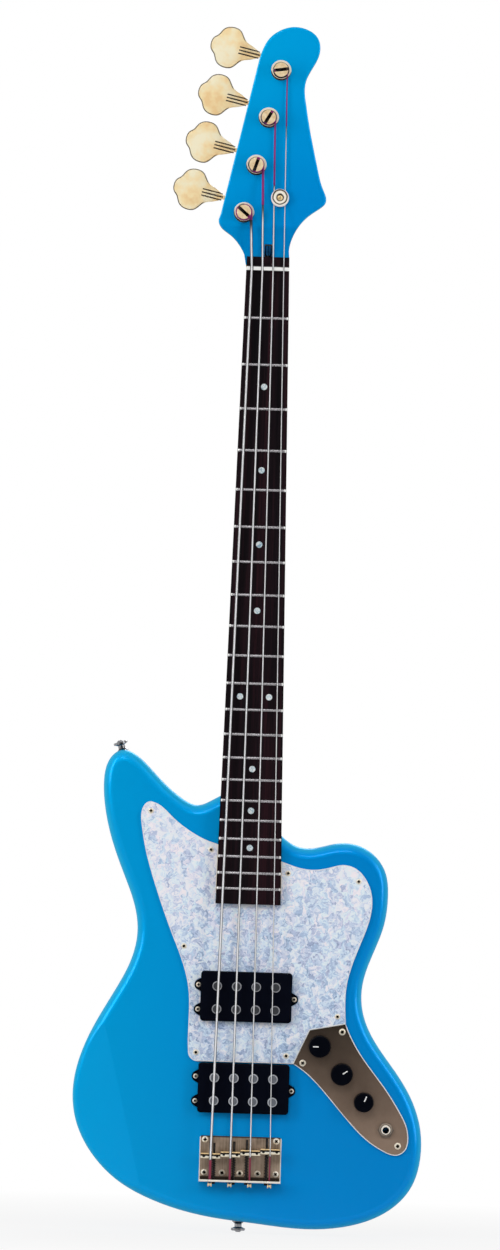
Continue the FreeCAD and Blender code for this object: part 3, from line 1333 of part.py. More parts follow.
def make_string(number):
    """A string from its ball end over the saddle and nut to its winding on the post."""
    diameter = STRING_DIAMETERS[number]
    radius = diameter / 2
    points = string_points(number)
    radii = [SADDLE_BEND_RADIUS, NUT_BEND_RADIUS, RETAINER_BEND_RADIUS][:len(points) - 2]
    edges = bent_route(points, radii)
    touch, angle, centre = winding_start(number)
    right = V(math.cos(angle), 0, math.sin(angle))
    ahead = V(-math.sin(angle), 0, math.cos(angle))
    pitch = diameter + WINDING_GAP * WINDING_GAP_SHARES[number]
    ring = winding_radius(number)
    place = points[-1]
    heading = unit(points[-1] - points[-2])
    turns = []
    for quarter in range(WINDING_QUARTERS[number] + 1):
        there, there_heading = helix_place(centre, right, ahead, FORWARD, ring, pitch, quarter * math.pi / 2)
        turns += biarc(place, heading, there, there_heading)
        place = there
        heading = there_heading
    turns.append(line(place, place + heading * diameter))
    gap = least_gap(turns, radius, math.pi * ring, diameter / 3)
    print("string", STRING_NAMES[number], "least gap in its winding", round(gap, 3), "mm")
    start_way = unit(points[1] - points[0])
    wire = tube(edges + turns, points[0], start_way, radius, "string " + STRING_NAMES[number])
    ball = rod(points[0] - start_way * BALL_LENGTH, start_way, BALL_DIAMETER / 2, BALL_LENGTH)
    return Part.Compound([wire, ball])


# Bridge


def make_bridge_plate():
    """The bent bridge plate with its upright lip."""
    half = BRIDGE_WIDTH / 2
    bottom = BRIDGE_TOP_DOWN + BRIDGE_LENGTH
    plate = block(-half, half, BRIDGE_TOP_DOWN, bottom, 0, BRIDGE_PLATE)
    plate = plate.fuse(block(-half, half, LIP_DOWN, bottom, 0, BRIDGE_LIP)).removeSplitter()
    corners = [edge for edge in edges_along(plate, FORWARD)
               if edge.BoundBox.ZMax > NUT_UP - BRIDGE_TOP_DOWN - FIT]
    plate = plate.makeFillet(BRIDGE_CORNER * 2, corners)
    rim = [edge for edge in edges_along(plate, V(1, 0, 0))
           if edge.BoundBox.YMin < FRONT_Y - BRIDGE_LIP + FIT]
    plate = plate.makeFillet(BRIDGE_PLATE / 3, rim)
    for number in range(len(STRING_NAMES)):
        hole = at(string_x(number, SADDLE_SPREAD), bottom + OVERRUN, STRING_LIP_HEIGHT)
        bore = STRING_DIAMETERS[number] / 2 + 2 * LOOSE
        plate = plate.cut(rod(hole, UP, bore, OVERRUN + BRIDGE_PLATE * 2))
        screw = intonation_place(number) - UP * OVERRUN
        plate = plate.cut(rod(screw, UP, INTONATION_DIAMETER / 2 + FIT, 2 * OVERRUN))
    return drilled(plate, bridge_screw_places(0), FORWARD, BRIDGE_SCREW_SHANK, OVERRUN)


def saddle_screw_xs(number):
    x = string_x(number, SADDLE_SPREAD)
    return (x - SADDLE_SCREW_SPREAD / 2, x + SADDLE_SCREW_SPREAD / 2)


def make_saddle(number):
    """A saddle block with its string groove, two height-screw holes and the intonation bore."""
    x = string_x(number, SADDLE_SPREAD)
    half = SADDLE_SPREAD / (len(STRING_NAMES) - 1) / 2 - SADDLE_GAP / 2
    down = saddle_down(number)
    top = saddle_top(number)
    reach = SADDLE_LENGTH / 2
    saddle = block(x - half, x + half, down - reach, down + reach, top - SADDLE_TALL, top)
    saddle = saddle.makeFillet(SADDLE_EDGE, saddle.Edges)
    radius = STRING_DIAMETERS[number] / 2 + LOOSE
    string_low = string_points(number)
    fall = unit(string_low[0] - string_low[1])
    deep = (SADDLE_LENGTH / 2 + SADDLE_TRAVEL) * abs(fall.y / fall.z)
    middle = saddle_place(number) + BACKWARD * deep
    run = UP * SADDLE_LENGTH
    saddle = saddle.cut(groove(middle - run, middle + run, radius, SADDLE_TALL))
    saddle = saddle.cut(rod(intonation_place(number), UP, INTONATION_DIAMETER / 2 + FIT, BRIDGE_LENGTH))
    for screw_x in saddle_screw_xs(number):
        hole = at(screw_x, down, 0)
        saddle = saddle.cut(rod(hole, FORWARD, SADDLE_SCREW_DIAMETER / 2, BRIDGE_LIP * 2))
    return saddle


def make_height_screws(number):
    """The two socket screws that hold a saddle above the bridge plate."""
    top = saddle_top(number) - SADDLE_SCREW_SUNK
    low = BRIDGE_PLATE + FIT
    socket = hexagon(SADDLE_SCREW_SOCKET, OVERRUN, FIT)
    screws = []
    for screw_x in saddle_screw_xs(number):
        base = at(screw_x, saddle_down(number), low)
        screw = rod(base, FORWARD, SADDLE_SCREW_DIAMETER / 2, top - low)
        deep = at(screw_x, saddle_down(number), top - SADDLE_SCREW_DIAMETER)
        screws.append(screw.cut(placed(socket, deep, FORWARD)))
    return Part.Compound(screws)


def make_intonation_screws():
    """The four long screws that pass through the lip and set the saddles along the strings."""
    screws = []
    for number in range(len(STRING_NAMES)):
        lip = intonation_place(number)
        back = lip - UP * BRIDGE_PLATE
        reach = LIP_DOWN - saddle_down(number) + SADDLE_LENGTH / 2 + INTONATION_REACH
        shank = rod(back, UP, INTONATION_DIAMETER / 2, BRIDGE_PLATE + reach)
        head = rod(back - UP * INTONATION_HEAD_LENGTH, UP, INTONATION_HEAD / 2, INTONATION_HEAD_LENGTH)
        width = INTONATION_HEAD * CROSS_WIDTH_SHARE
        slot = Part.makeBox(INTONATION_HEAD * 2, width, OVERRUN)
        slot.translate(back + V(-INTONATION_HEAD, -width / 2, -OVERRUN - INTONATION_HEAD_LENGTH / 2))
        screws.append(shank.fuse(head).cut(slot))
    return screws


def make_spring(number):
    """The coil spring on an intonation screw between the lip and its saddle."""
    lip = intonation_place(number)
    length = LIP_DOWN - saddle_down(number) - SADDLE_LENGTH / 2 - FIT
    ring = (SPRING_DIAMETER - SPRING_WIRE) / 2
    radius = SPRING_WIRE / 2
    lead = 3 * SPRING_WIRE
    pitch = (length - 2 * lead) / SPRING_TURNS
    right = V(1, 0, 0)
    ahead = BACKWARD
    start = lip + right * ring
    foot = start + UP * SPRING_WIRE
    coil_centre = lip + UP * lead
    edges = [line(start, foot)]
    place, heading = foot, UP
    last = SPRING_TURNS * 4 - 1
    for quarter in range(1, last + 1):
        angle = quarter * math.pi / 2
        there, there_heading = helix_place(coil_centre, right, ahead, UP, ring, pitch, angle)
        edges += biarc(place, heading, there, there_heading)
        place, heading = there, there_heading
    top = lip + right * ring + UP * (length - SPRING_WIRE)
    edges += biarc(place, heading, top, UP)
    edges.append(line(top, top + UP * SPRING_WIRE))
    gap = least_gap(edges, radius, math.pi * ring, SPRING_WIRE)
    print("spring", STRING_NAMES[number], "least gap between its curls", round(gap, 3), "mm")
    return tube(edges, start, UP, radius, "spring " + STRING_NAMES[number])


# Pickups


def make_pickup_cover(pickup_down):
    """A moulded cover with three ears, open below, with holes for its poles."""
    top = PICKUP_OVER_BODY
    low = top - PICKUP_HEIGHT
    half = PICKUP_WIDTH / 2
    half_length = PICKUP_LENGTH / 2
    shell = block(PICKUP_X - half, PICKUP_X + half, pickup_down - half_length, pickup_down + half_length,
                  low, top)
    shell = shell.makeFillet(PICKUP_CORNER, edges_along(shell, FORWARD))
    shell = shell.makeFillet(PICKUP_EDGE_ROUND, edges_at_out(shell, top))
    shell = shell.fuse(pickup_plan(pickup_down, 0, PICKUP_EAR_OUT - PICKUP_EAR_THICK, PICKUP_EAR_OUT))
    half -= PICKUP_WALL
    half_length -= PICKUP_WALL
    hollow = block(PICKUP_X - half, PICKUP_X + half, pickup_down - half_length, pickup_down + half_length,
                   low - OVERRUN, top - PICKUP_WALL)
    shell = shell.cut(hollow).removeSplitter()
    shell = drilled(shell, pole_places(pickup_down, top), FORWARD, POLE_DIAMETER, PICKUP_WALL * 2)
    ears = ear_places(pickup_down, PICKUP_EAR_OUT)
    return drilled(shell, ears, FORWARD, EAR_SCREW_SHANK, PICKUP_EAR_THICK * 2)


def make_poles(pickup_down):
    """The eight round pole pieces that stand just proud of a cover."""
    high = PICKUP_OVER_BODY + POLE_PROUD
    poles = []
    for place in pole_places(pickup_down, high - POLE_LENGTH):
        pole = rod(place, FORWARD, POLE_DIAMETER / 2, POLE_LENGTH)
        poles.append(pole.makeChamfer(POLE_PROUD * 2, edges_at_out(pole, high)))
    return poles


def make_coils(pickup_down):
    """The two wound coils inside a pickup, one round each row of poles."""
    high = PICKUP_OVER_BODY - COIL_BELOW
    middle = pickup_down + POLE_SHIFT
    reach = (COIL_LENGTH - COIL_WIDTH) / 2
    coils = []
    for row in (-1, 1):
        down = middle + row * POLE_ROWS / 2
        coil = stadium(at(PICKUP_X - reach, down, 0), at(PICKUP_X + reach, down, 0), COIL_WIDTH / 2,
                       high - COIL_HEIGHT, high)
        coils.append(drilled(coil, pole_places(pickup_down, high), FORWARD, POLE_DIAMETER, COIL_HEIGHT * 2))
    return coils


def make_foam():
    """The foam pad under each pickup, on the floor of its cavity."""
    pads = []
    for down in (NECK_PICKUP_DOWN, BRIDGE_PICKUP_DOWN):
        pad = block(PICKUP_X - FOAM_WIDTH / 2, PICKUP_X + FOAM_WIDTH / 2, down - FOAM_LENGTH / 2,
                    down + FOAM_LENGTH / 2, PICKUP_FLOOR, PICKUP_FLOOR + FOAM_THICK)
        pads.append(pad.makeFillet(PICKUP_CORNER, edges_along(pad, FORWARD)))
    return pads


def make_pickup_screws(pickup_down):
    """The three height screws through a pickup's ears."""
    screw = cross_screw(EAR_SCREW_HEAD, FACE_SCREW_DOME, EAR_SCREW_SHANK, PICKUP_SCREW_LENGTH)
    return screw_row(screw, ear_places(pickup_down, PICKUP_EAR_OUT), FORWARD)


# Pickguard, control plate and controls


def plate_wire():
    """The outline of the control plate: a curved edge and two straight sides against the pickguard."""
    points = [on_body(share, 0) for share in PLATE_SHARES]
    points.append(beside_pickup(PLATE_FROM_PICKUP, PLATE_POINT_SHARE, 0))
    corner = on_body(PLATE_CORNER_SHARES, 0)
    return Part.Wire([spline(points), line(points[-1], corner), line(corner, points[0])])


def make_guard():
    """The pickguard, cut round the neck, the pickups and the control plate."""
    ear = PICKUP_X - PICKUP_WIDTH / 2 - EAR_OUT - EAR_DIAMETER / 2
    left = [at(ear - out * GUARD_PAST_EAR, NUT_UP - up * BODY_LENGTH, 0) for out, up in GUARD_EAR_SHARES]
    left += [on_body(share, 0) for share in GUARD_LEFT_SHARES]
    right = [on_body(share, 0) for share in GUARD_RIGHT_SHARES]
    plate = [on_body(PLATE_CORNER_SHARES, 0), beside_pickup(PLATE_FROM_PICKUP, PLATE_POINT_SHARE, 0)]
    corner = V(left[0].x, left[0].y, plate[1].z)
    rise = corner + UP * GUARD_CORNER
    turn = corner + V(GUARD_CORNER, 0, 0)
    diagonal = corner + (V(1, 0, 0) + UP) * (GUARD_CORNER * (1 - math.sqrt(1 / 2)))
    wire = Part.Wire([
        spline([rise] + left[1:]), line(left[-1], right[0]), spline(right),
        line(right[-1], plate[0]), line(plate[0], plate[1]), line(plate[1], turn),
        Part.Arc(turn, diagonal, rise).toShape()])
    guard = prism(wire, 0, GUARD_THICK)
    guard = guard.cut(heel_block(HEEL_TOP - OVERRUN, GUARD_GAP, -OVERRUN, OVERRUN))
    guard = guard.cut(pickup_plan(NECK_PICKUP_DOWN, PICKUP_GAP, -OVERRUN, OVERRUN))
    guard = guard.cut(pickup_plan(BRIDGE_PICKUP_DOWN, PICKUP_GAP, -OVERRUN, OVERRUN))
    wider = Part.Face(plate_wire()).makeOffset2D(GUARD_GAP)
    guard = guard.cut(prism(wider.OuterWire, -OVERRUN, OVERRUN))
    return drilled(guard, guard_screw_places(0), FORWARD, FACE_SCREW_SHANK, OVERRUN)


def make_control_plate():
    """The metal control plate with holes for the controls, the jack and its screws."""
    plate = prism(plate_wire(), 0, PLATE_THICK)
    for number in range(len(KNOB_NAMES)):
        hole = control_place(number, -OVERRUN)
        plate = plate.cut(rod(hole, FORWARD, POT_BUSHING_DIAMETER / 2 + FIT, 2 * OVERRUN))
    jack = control_place(len(KNOB_NAMES), -OVERRUN)
    plate = plate.cut(rod(jack, FORWARD, JACK_BARREL_DIAMETER / 2 + FIT, 2 * OVERRUN))
    return drilled(plate, plate_screw_places(0), FORWARD, FACE_SCREW_SHANK, OVERRUN)


def make_face_screws():
    """The eight screws of the pickguard and the three larger-headed ones of the control plate."""
    small = cross_screw(FACE_SCREW_HEAD, FACE_SCREW_DOME, FACE_SCREW_SHANK, FACE_SCREW_LENGTH)
    large = cross_screw(PLATE_SCREW_HEAD, FACE_SCREW_DOME, FACE_SCREW_SHANK, FACE_SCREW_LENGTH)
    return (screw_row(small, guard_screw_places(GUARD_THICK), FORWARD)
            + screw_row(large, plate_screw_places(PLATE_THICK), FORWARD))


def make_pots():
    """The three potentiometers under the control plate, each a can with a bushing and its shaft's bore."""
    can = POT_DIAMETER / 2
    bushing = POT_BUSHING_DIAMETER / 2
    bore = POT_SHAFT_DIAMETER / 2 + FIT
    low = -POT_BELOW - POT_HEIGHT
    floor = low + POT_BELOW
    step = bushing + POT_BELOW
    top = PLATE_THICK + POT_BUSHING_OUT
    profile = [(0, low), (can, low), (can, -POT_BELOW), (step, -POT_BELOW), (step, 0), (bushing, 0),
               (bushing, top), (bore, top), (bore, floor), (0, floor)]
    return [turned(profile, control_place(number, 0), FORWARD) for number in range(len(KNOB_NAMES))]


def make_control_nuts():
    """The nuts that hold the potentiometers and the jack to the control plate."""
    pot_nut = hexagon(CONTROL_NUT_ACROSS, CONTROL_NUT_THICK, POT_BUSHING_DIAMETER / 2 + FIT)
    jack_nut = hexagon(JACK_NUT_ACROSS, CONTROL_NUT_THICK, JACK_BARREL_DIAMETER / 2 + FIT)
    nuts = [placed(pot_nut, control_place(number, PLATE_THICK), FORWARD)
            for number in range(len(KNOB_NAMES))]
    return nuts + [placed(jack_nut, control_place(len(KNOB_NAMES), PLATE_THICK), FORWARD)]


def make_knob(number):
    """A knob with a pointer groove, hollow below, on its potentiometer's shaft."""
    radius = KNOB_DIAMETERS[number] / 2
    shaft_radius = POT_SHAFT_DIAMETER / 2
    hollow = KNOB_HOLLOW_DIAMETER / 2
    shaft_low = -POT_HEIGHT + LOOSE
    low = PLATE_THICK + KNOB_OVER_PLATE
    top = low + KNOB_HEIGHT
    shaft_top = PLATE_THICK + POT_SHAFT_OUT
    profile = [(shaft_radius, low + KNOB_HOLLOW), (hollow, low + KNOB_HOLLOW), (hollow, low), (radius, low),
               (radius - KNOB_TAPER, top), (0, top), (0, shaft_top), (shaft_radius, shaft_top)]
    knob = turned(profile, V(0, 0, 0), UP)
    rim = [edge for edge in knob.Edges
           if isinstance(edge.Curve, Part.Circle) and edge.BoundBox.ZMin > top - FIT]
    knob = knob.makeFillet(KNOB_EDGE_ROUND, rim)
    slot = Part.makeBox(KNOB_GROOVE_REACH, KNOB_GROOVE_WIDTH, OVERRUN,
                        V(0, -KNOB_GROOVE_WIDTH / 2, top - KNOB_GROOVE_DEPTH))
    knob = knob.cut(slot)
    shaft = rod(V(0, 0, shaft_low), UP, shaft_radius, shaft_top - shaft_low)
    base = control_place(number, 0)
    aim = FreeCAD.Rotation(V(1, 0, 0), UP, FORWARD)
    spin = FreeCAD.Rotation(UP, KNOB_POINTER_TURNS[number])
    pieces = []
    for piece in (knob, shaft):
        copy = piece.copy()
        copy.Placement = FreeCAD.Placement(base, aim.multiply(spin))
        pieces.append(copy)
    return Part.Compound(pieces)


def make_jack():
    """The output jack: a bored barrel through the control plate with a flange behind it."""
    bore = JACK_BORE_DIAMETER / 2
    barrel = JACK_BARREL_DIAMETER / 2
    flange = JACK_FLANGE_DIAMETER / 2
    high = PLATE_THICK + JACK_OUT
    profile = [(bore, high - JACK_LENGTH), (barrel, high - JACK_LENGTH), (barrel, -JACK_FLANGE),
               (flange, -JACK_FLANGE), (flange, 0), (barrel, 0), (barrel, high), (bore, high)]
    return turned(profile, control_place(len(KNOB_NAMES), 0), FORWARD)


# Strap buttons and neck plate


def make_buttons():
    """The two strap buttons and the screw that holds each."""
    base = BUTTON_BASE_DIAMETER / 2
    waist = BUTTON_WAIST_DIAMETER / 2
    head = BUTTON_HEAD_DIAMETER / 2
    bore = BUTTON_BORE_DIAMETER / 2 + FIT
    head_low = BUTTON_HEIGHT - BUTTON_HEAD_HEIGHT
    profile = [(bore, 0), (base, 0), (base, BUTTON_BASE_HEIGHT / 2), (waist, BUTTON_BASE_HEIGHT * 2),
               (waist, head_low - BUTTON_BASE_HEIGHT), (head, head_low),
               (head, BUTTON_HEIGHT - BUTTON_BASE_HEIGHT / 2),
               (head - BUTTON_BASE_HEIGHT / 2, BUTTON_HEIGHT), (bore, BUTTON_HEIGHT)]
    screw = cross_screw(BUTTON_SCREW_HEAD, FACE_SCREW_DOME, BUTTON_BORE_DIAMETER,
                        BUTTON_SCREW_LENGTH + BUTTON_HEIGHT - LOOSE)
    pieces = []
    for seat, axis in button_seats():
        pieces.append(turned(profile, seat, axis))
        pieces.append(placed(screw, seat + axis * BUTTON_HEIGHT, axis))
    return pieces


def make_neck_plate():
    """The plate on the back that the neck screws pull against."""
    half = NECK_PLATE_WIDTH / 2
    bottom = HEEL_END - NECK_PLATE_FROM_HEEL
    plate = block(-half, half, bottom - NECK_PLATE_LENGTH, bottom,
                  -BODY_THICK - NECK_PLATE_THICK, -BODY_THICK)
    plate = plate.makeFillet(NECK_PLATE_CORNER, edges_along(plate, FORWARD))
    return drilled(plate, neck_screw_places(-BODY_THICK), BACKWARD, NECK_SCREW_SHANK, OVERRUN)


def make_neck_screws():
    screw = cross_screw(NECK_SCREW_HEAD, FACE_SCREW_DOME, NECK_SCREW_SHANK, NECK_SCREW_LENGTH)
    return screw_row(screw, neck_screw_places(-BODY_THICK - NECK_PLATE_THICK), BACKWARD)


def make_bridge_screws():
    screw = cross_screw(BRIDGE_SCREW_HEAD, FACE_SCREW_DOME, BRIDGE_SCREW_SHANK, BRIDGE_SCREW_LENGTH)
    return screw_row(screw, bridge_screw_places(BRIDGE_PLATE), FORWARD)


def make_all():
    """Every piece of the instrument under its own name."""
    board, dots = make_fingerboard_and_dots()
    parts = {
        "body": make_body(),
        "neck": make_neck(),
        "fingerboard": board,
        "frets": [fret(number) for number in range(1, FRETS + 1)],
        "position_markers": dots,
        "nut": make_nut(),
        "truss_rod": make_truss_rod(),
        "truss_rod_nut": make_truss_nut(),
        "string_retainer": make_retainer(),
        "headstock_screws": make_headstock_screws(),
        "tuner_plates": make_tuner_plates(),
        "tuner_bushings": make_bushings(),
        "bridge_plate": make_bridge_plate(),
        "bridge_screws": make_bridge_screws(),
        "intonation_screws": make_intonation_screws(),
        "pickguard": make_guard(),
        "face_screws": make_face_screws(),
        "control_plate": make_control_plate(),
        "pickup_foam": make_foam(),
        "potentiometers": make_pots(),
        "control_nuts": make_control_nuts(),
        "jack_socket": make_jack(),
        "strap_buttons": make_buttons(),
        "neck_plate": make_neck_plate(),
        "neck_screws": make_neck_screws()}
    for place, down in (("neck", NECK_PICKUP_DOWN), ("bridge", BRIDGE_PICKUP_DOWN)):
        parts[place + "_pickup_cover"] = make_pickup_cover(down)
        parts[place + "_pickup_poles"] = make_poles(down)
        parts[place + "_pickup_coils"] = make_coils(down)
        parts[place + "_pickup_screws"] = make_pickup_screws(down)
    keys = make_keys()
    posts = make_posts()
    for number, name in enumerate(STRING_NAMES):
        parts["tuning_key_" + name] = keys[number]
        parts["string_post_" + name] = posts[number]
        parts["string_" + name] = make_string(number)
        parts["saddle_" + name] = make_saddle(number)
        parts["saddle_height_screws_" + name] = make_height_screws(number)
        parts["intonation_spring_" + name] = make_spring(number)
    for number, name in enumerate(KNOB_NAMES):
        parts[name] = make_knob(number)
    return parts


def main():
    os.makedirs("parts", exist_ok=True)
    for name, shape in make_all().items():
        if isinstance(shape, list):
            shape = Part.Compound(shape)
        shape.exportStep("parts/" + name + ".step")
        good = all(solid.isValid() for solid in shape.Solids)
        print(name, len(shape.Solids), "solids", "valid" if good else "NOT VALID", round(shape.Volume, 1))


main()
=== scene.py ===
import math

import bmesh
import bpy
from mathutils import Matrix, Vector


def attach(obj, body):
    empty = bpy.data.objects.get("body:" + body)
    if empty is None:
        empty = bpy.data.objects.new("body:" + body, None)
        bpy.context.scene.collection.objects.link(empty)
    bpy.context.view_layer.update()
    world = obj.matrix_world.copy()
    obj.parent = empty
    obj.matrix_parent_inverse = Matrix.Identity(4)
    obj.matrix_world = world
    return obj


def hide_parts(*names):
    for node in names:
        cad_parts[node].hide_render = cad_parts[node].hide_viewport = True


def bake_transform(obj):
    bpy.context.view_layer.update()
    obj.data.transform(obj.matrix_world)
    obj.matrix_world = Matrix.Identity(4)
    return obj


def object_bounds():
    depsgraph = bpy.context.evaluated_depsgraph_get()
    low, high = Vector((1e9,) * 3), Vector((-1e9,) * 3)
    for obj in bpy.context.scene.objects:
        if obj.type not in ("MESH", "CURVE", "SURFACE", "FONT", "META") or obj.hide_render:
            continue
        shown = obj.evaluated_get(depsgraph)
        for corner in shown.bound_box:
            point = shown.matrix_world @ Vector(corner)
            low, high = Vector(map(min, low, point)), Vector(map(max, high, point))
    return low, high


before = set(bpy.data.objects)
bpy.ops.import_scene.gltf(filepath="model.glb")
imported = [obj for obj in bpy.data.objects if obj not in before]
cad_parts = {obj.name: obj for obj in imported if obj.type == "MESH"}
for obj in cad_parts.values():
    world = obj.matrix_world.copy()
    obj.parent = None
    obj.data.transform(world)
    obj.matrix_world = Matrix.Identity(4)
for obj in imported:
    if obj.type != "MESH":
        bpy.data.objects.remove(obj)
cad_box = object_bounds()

# Sizes in millimetres, as the construction has them
MM = 0.001
NUT_UP = 933.0
FACE_Y = -22.25
SCALE = 863.6
HEAD_FACE = -3.0
BOARD_TOP = 10.0
BOARD_RADIUS = 241.3
NUT_SPREAD = 31.3
SADDLE_SPREAD = 58.2
SADDLE_SETBACKS = (5.4, 3.402, 1.404, -0.27)
LIP_DOWN = 892.0
STRINGS = ("e", "a", "d", "g")
STRING_DIAMETERS = (2.67, 2.16, 1.65, 1.14)
WINDING_PITCHES = (4.07, 3.16, 2.25, 1.74)
WINDING_TURNS = (2.25, 2.25, 2.5, 3.0)
POST_BARREL = 5.2
POST_SLOT_TURNS = (-40.0, 72.0, 60.0, 8.0)
POST_SLOT_FLOOR = 10.0
ROW_TILT = math.radians(12.9)
SILK_STARTS = (-47.0, -62.0, -82.0, -140.0)
POST_PITCH = 47.9
KEY_PLACE = (-22.857, 996.958)
KEY_LINE_PITCH = 3.2
RETAINER_UP = 69.7
PICKUP_X = 1.0
PICKUP_DOWNS = (714.0, 803.7)
POLE_SPREAD = 57.3
POLE_ROWS = 22.5
NUT_WIDTH = 42.0
BOARD_END_WIDTH = 63.7
BOARD_LENGTH = 622.05
BRIDGE_WIDTH = 80.0
KNOBS = (("neck_volume_knob", 0, 180.0), ("bridge_volume_knob", 1, 36.0), ("tone_knob", 2, 68.0))
FRONT = Vector((0, -1, 0))


def at(x, down, out):
    """A place right of the centreline, down from the nut and out from the body's face, in metres."""
    return Vector((x, FACE_Y - out, NUT_UP - down)) * MM


def post_foot(number):
    """The middle of a post at the headstock's face, in (x, down) millimetres."""
    along = POST_PITCH * number
    return -25.0 + math.sin(ROW_TILT) * along, -54.6 - math.cos(ROW_TILT) * along


# Shading


class Signal:
    """A value on its way to a shader. Sums and products of signals add Math nodes."""

    def __init__(self, tree, socket):
        self.tree = tree
        self.socket = socket

    def join(self, operation, first, second=0.0):
        node = self.tree.nodes.new("ShaderNodeMath")
        node.operation = operation
        for number, value in enumerate((first, second)):
            if isinstance(value, Signal):
                self.tree.links.new(value.socket, node.inputs[number])
            else:
                node.inputs[number].default_value = value
        return Signal(self.tree, node.outputs[0])

    def __add__(self, other):
        return self.join("ADD", self, other)

    def __radd__(self, other):
        return self.join("ADD", other, self)

    def __sub__(self, other):
        return self.join("SUBTRACT", self, other)

    def __rsub__(self, other):
        return self.join("SUBTRACT", other, self)

    def __mul__(self, other):
        return self.join("MULTIPLY", self, other)

    def sine(self):
        return self.join("SINE", self)

    def power(self, exponent):
        return self.join("POWER", self, exponent)

    def size(self):
        return self.join("ABSOLUTE", self)

    def from_nearest(self, half_step):
        """The distance to the nearest multiple of twice the half step."""
        return self.join("PINGPONG", self, half_step)

    def past_nearest(self, step):
        """How far past the nearest multiple of the step, less than zero before it."""
        ahead = self + step / 2
        return ahead.join("FLOORED_MODULO", ahead, step) - step / 2


class Nodes:
    """The node tree of a material or of the world."""

    def __init__(self, tree):
        self.tree = tree

    def add(self, kind, settings=None, inputs=None, output=0):
        """One node: its settings are set first, then its sockets get values or links."""
        node = self.tree.nodes.new(kind)
        for name, value in (settings or {}).items():
            if name == "stops":
                ramp = node.color_ramp.elements
                while len(ramp) < len(value):
                    ramp.new(0.5)
                for element, (place, colour) in zip(ramp, value):
                    element.position = place
                    element.color = (*colour, 1.0)
            else:
                setattr(node, name, value)
        for name, value in (inputs or {}).items():
            socket = node.inputs[name]
            if isinstance(value, Signal):
                self.tree.links.new(value.socket, socket)
            elif hasattr(socket.default_value, "__len__") and len(socket.default_value) == 4:
                socket.default_value = (*value, 1.0) if len(value) == 3 else value
            else:
                socket.default_value = value
        return Signal(self.tree, node.outputs[output])

    def blend(self, factor, first, second):
        """A colour between two colours."""
        settings = {"data_type": "RGBA", "clamp_factor": True}
        return self.add("ShaderNodeMix", settings, {0: factor, 6: first, 7: second}, 2)

    def places(self):
        return self.add("ShaderNodeTexCoord", None, None, "Object")

    def stretched(self, vector, scale):
        return self.add("ShaderNodeVectorMath", {"operation": "MULTIPLY"}, {0: vector, 1: scale})

    def facing(self):
        """How far the surface faces along each axis of its object."""
        return self.parts_of(self.add("ShaderNodeTexCoord", None, None, "Normal"))

    def parts_of(self, vector):
        node = self.tree.nodes.new("ShaderNodeSeparateXYZ")
        self.tree.links.new(vector.socket, node.inputs[0])
        return [Signal(self.tree, socket) for socket in node.outputs]

    def noise(self, vector, scale, detail=3.0, roughness=0.5, distortion=0.0):
        return self.add("ShaderNodeTexNoise", None, {"Vector": vector, "Scale": scale, "Detail": detail,
                                                     "Roughness": roughness, "Distortion": distortion})

    def ramp(self, value, stops):
        return self.add("ShaderNodeValToRGB", {"stops": stops}, {"Fac": value})

    def between(self, value, low, high):
        """Zero below low, one above high and even between."""
        inputs = {"Value": value, "From Min": low, "From Max": high}
        return self.add("ShaderNodeMapRange", {"clamp": True}, inputs)


class Finish(Nodes):
    """A material with one surface shader, whose constant values are set on its own sockets."""

    def __init__(self, name, **constants):
        self.material = bpy.data.materials.new(name)
        self.material.use_nodes = True
        super().__init__(self.material.node_tree)
        self.shader = self.tree.nodes["Principled BSDF"]
        for key, value in constants.items():
            socket = self.shader.inputs[key.replace("_", " ").title().replace("Ior", "IOR")]
            if hasattr(value, "__len__"):
                socket.default_value = (*value, 1.0)
            else:
                socket.default_value = value

    def feed(self, name, signal):
        self.tree.links.new(signal.socket, self.shader.inputs[name])

    def bump(self, height, strength, distance):
        inputs = {"Strength": strength, "Distance": distance, "Height": height}
        self.feed("Normal", self.add("ShaderNodeBump", None, inputs))


def blue_paint_with_painted_light(finish, place):
    """The lacquer's blue with painted light and shade: lighter and greener towards the bass side and the top
    of the head.
    """
    x, y, z = finish.parts_of(place)
    cloud = finish.noise(place, 5.0, 2.0) * 0.16
    # Painted light: lighter towards the bass side and the top of the head.
    light = finish.between(x, 0.03, -0.17) + finish.between(z, 1.0, 1.15) * 0.75
    # Painted shade: darker towards the treble side.
    deep = finish.between(x, -0.05, 0.16)
    middle = finish.blend(deep + cloud, (0.0, 0.315, 0.800), (0.0, 0.275, 0.740))
    flat = finish.blend(light, middle, (0.0, 0.415, 0.850))
    across, front, up = finish.facing()
    # Painted highlight: cyan where the rounded edges turn away from the front.
    return finish.blend(finish.between(front.size(), 0.92, 0.6) * 0.6, flat, (0.02, 0.50, 0.78))


def blue_lacquer(name):
    finish = Finish(name, roughness=0.34, metallic=0.28, coat_weight=0.14, coat_roughness=0.1,
                    specular_ior_level=0.0)
    place = finish.places()
    finish.feed("Base Color", blue_paint_with_painted_light(finish, place))
    peel = finish.noise(place, 900.0, 1.0)
    finish.bump(peel, 0.015, 0.0004)
    return finish.material


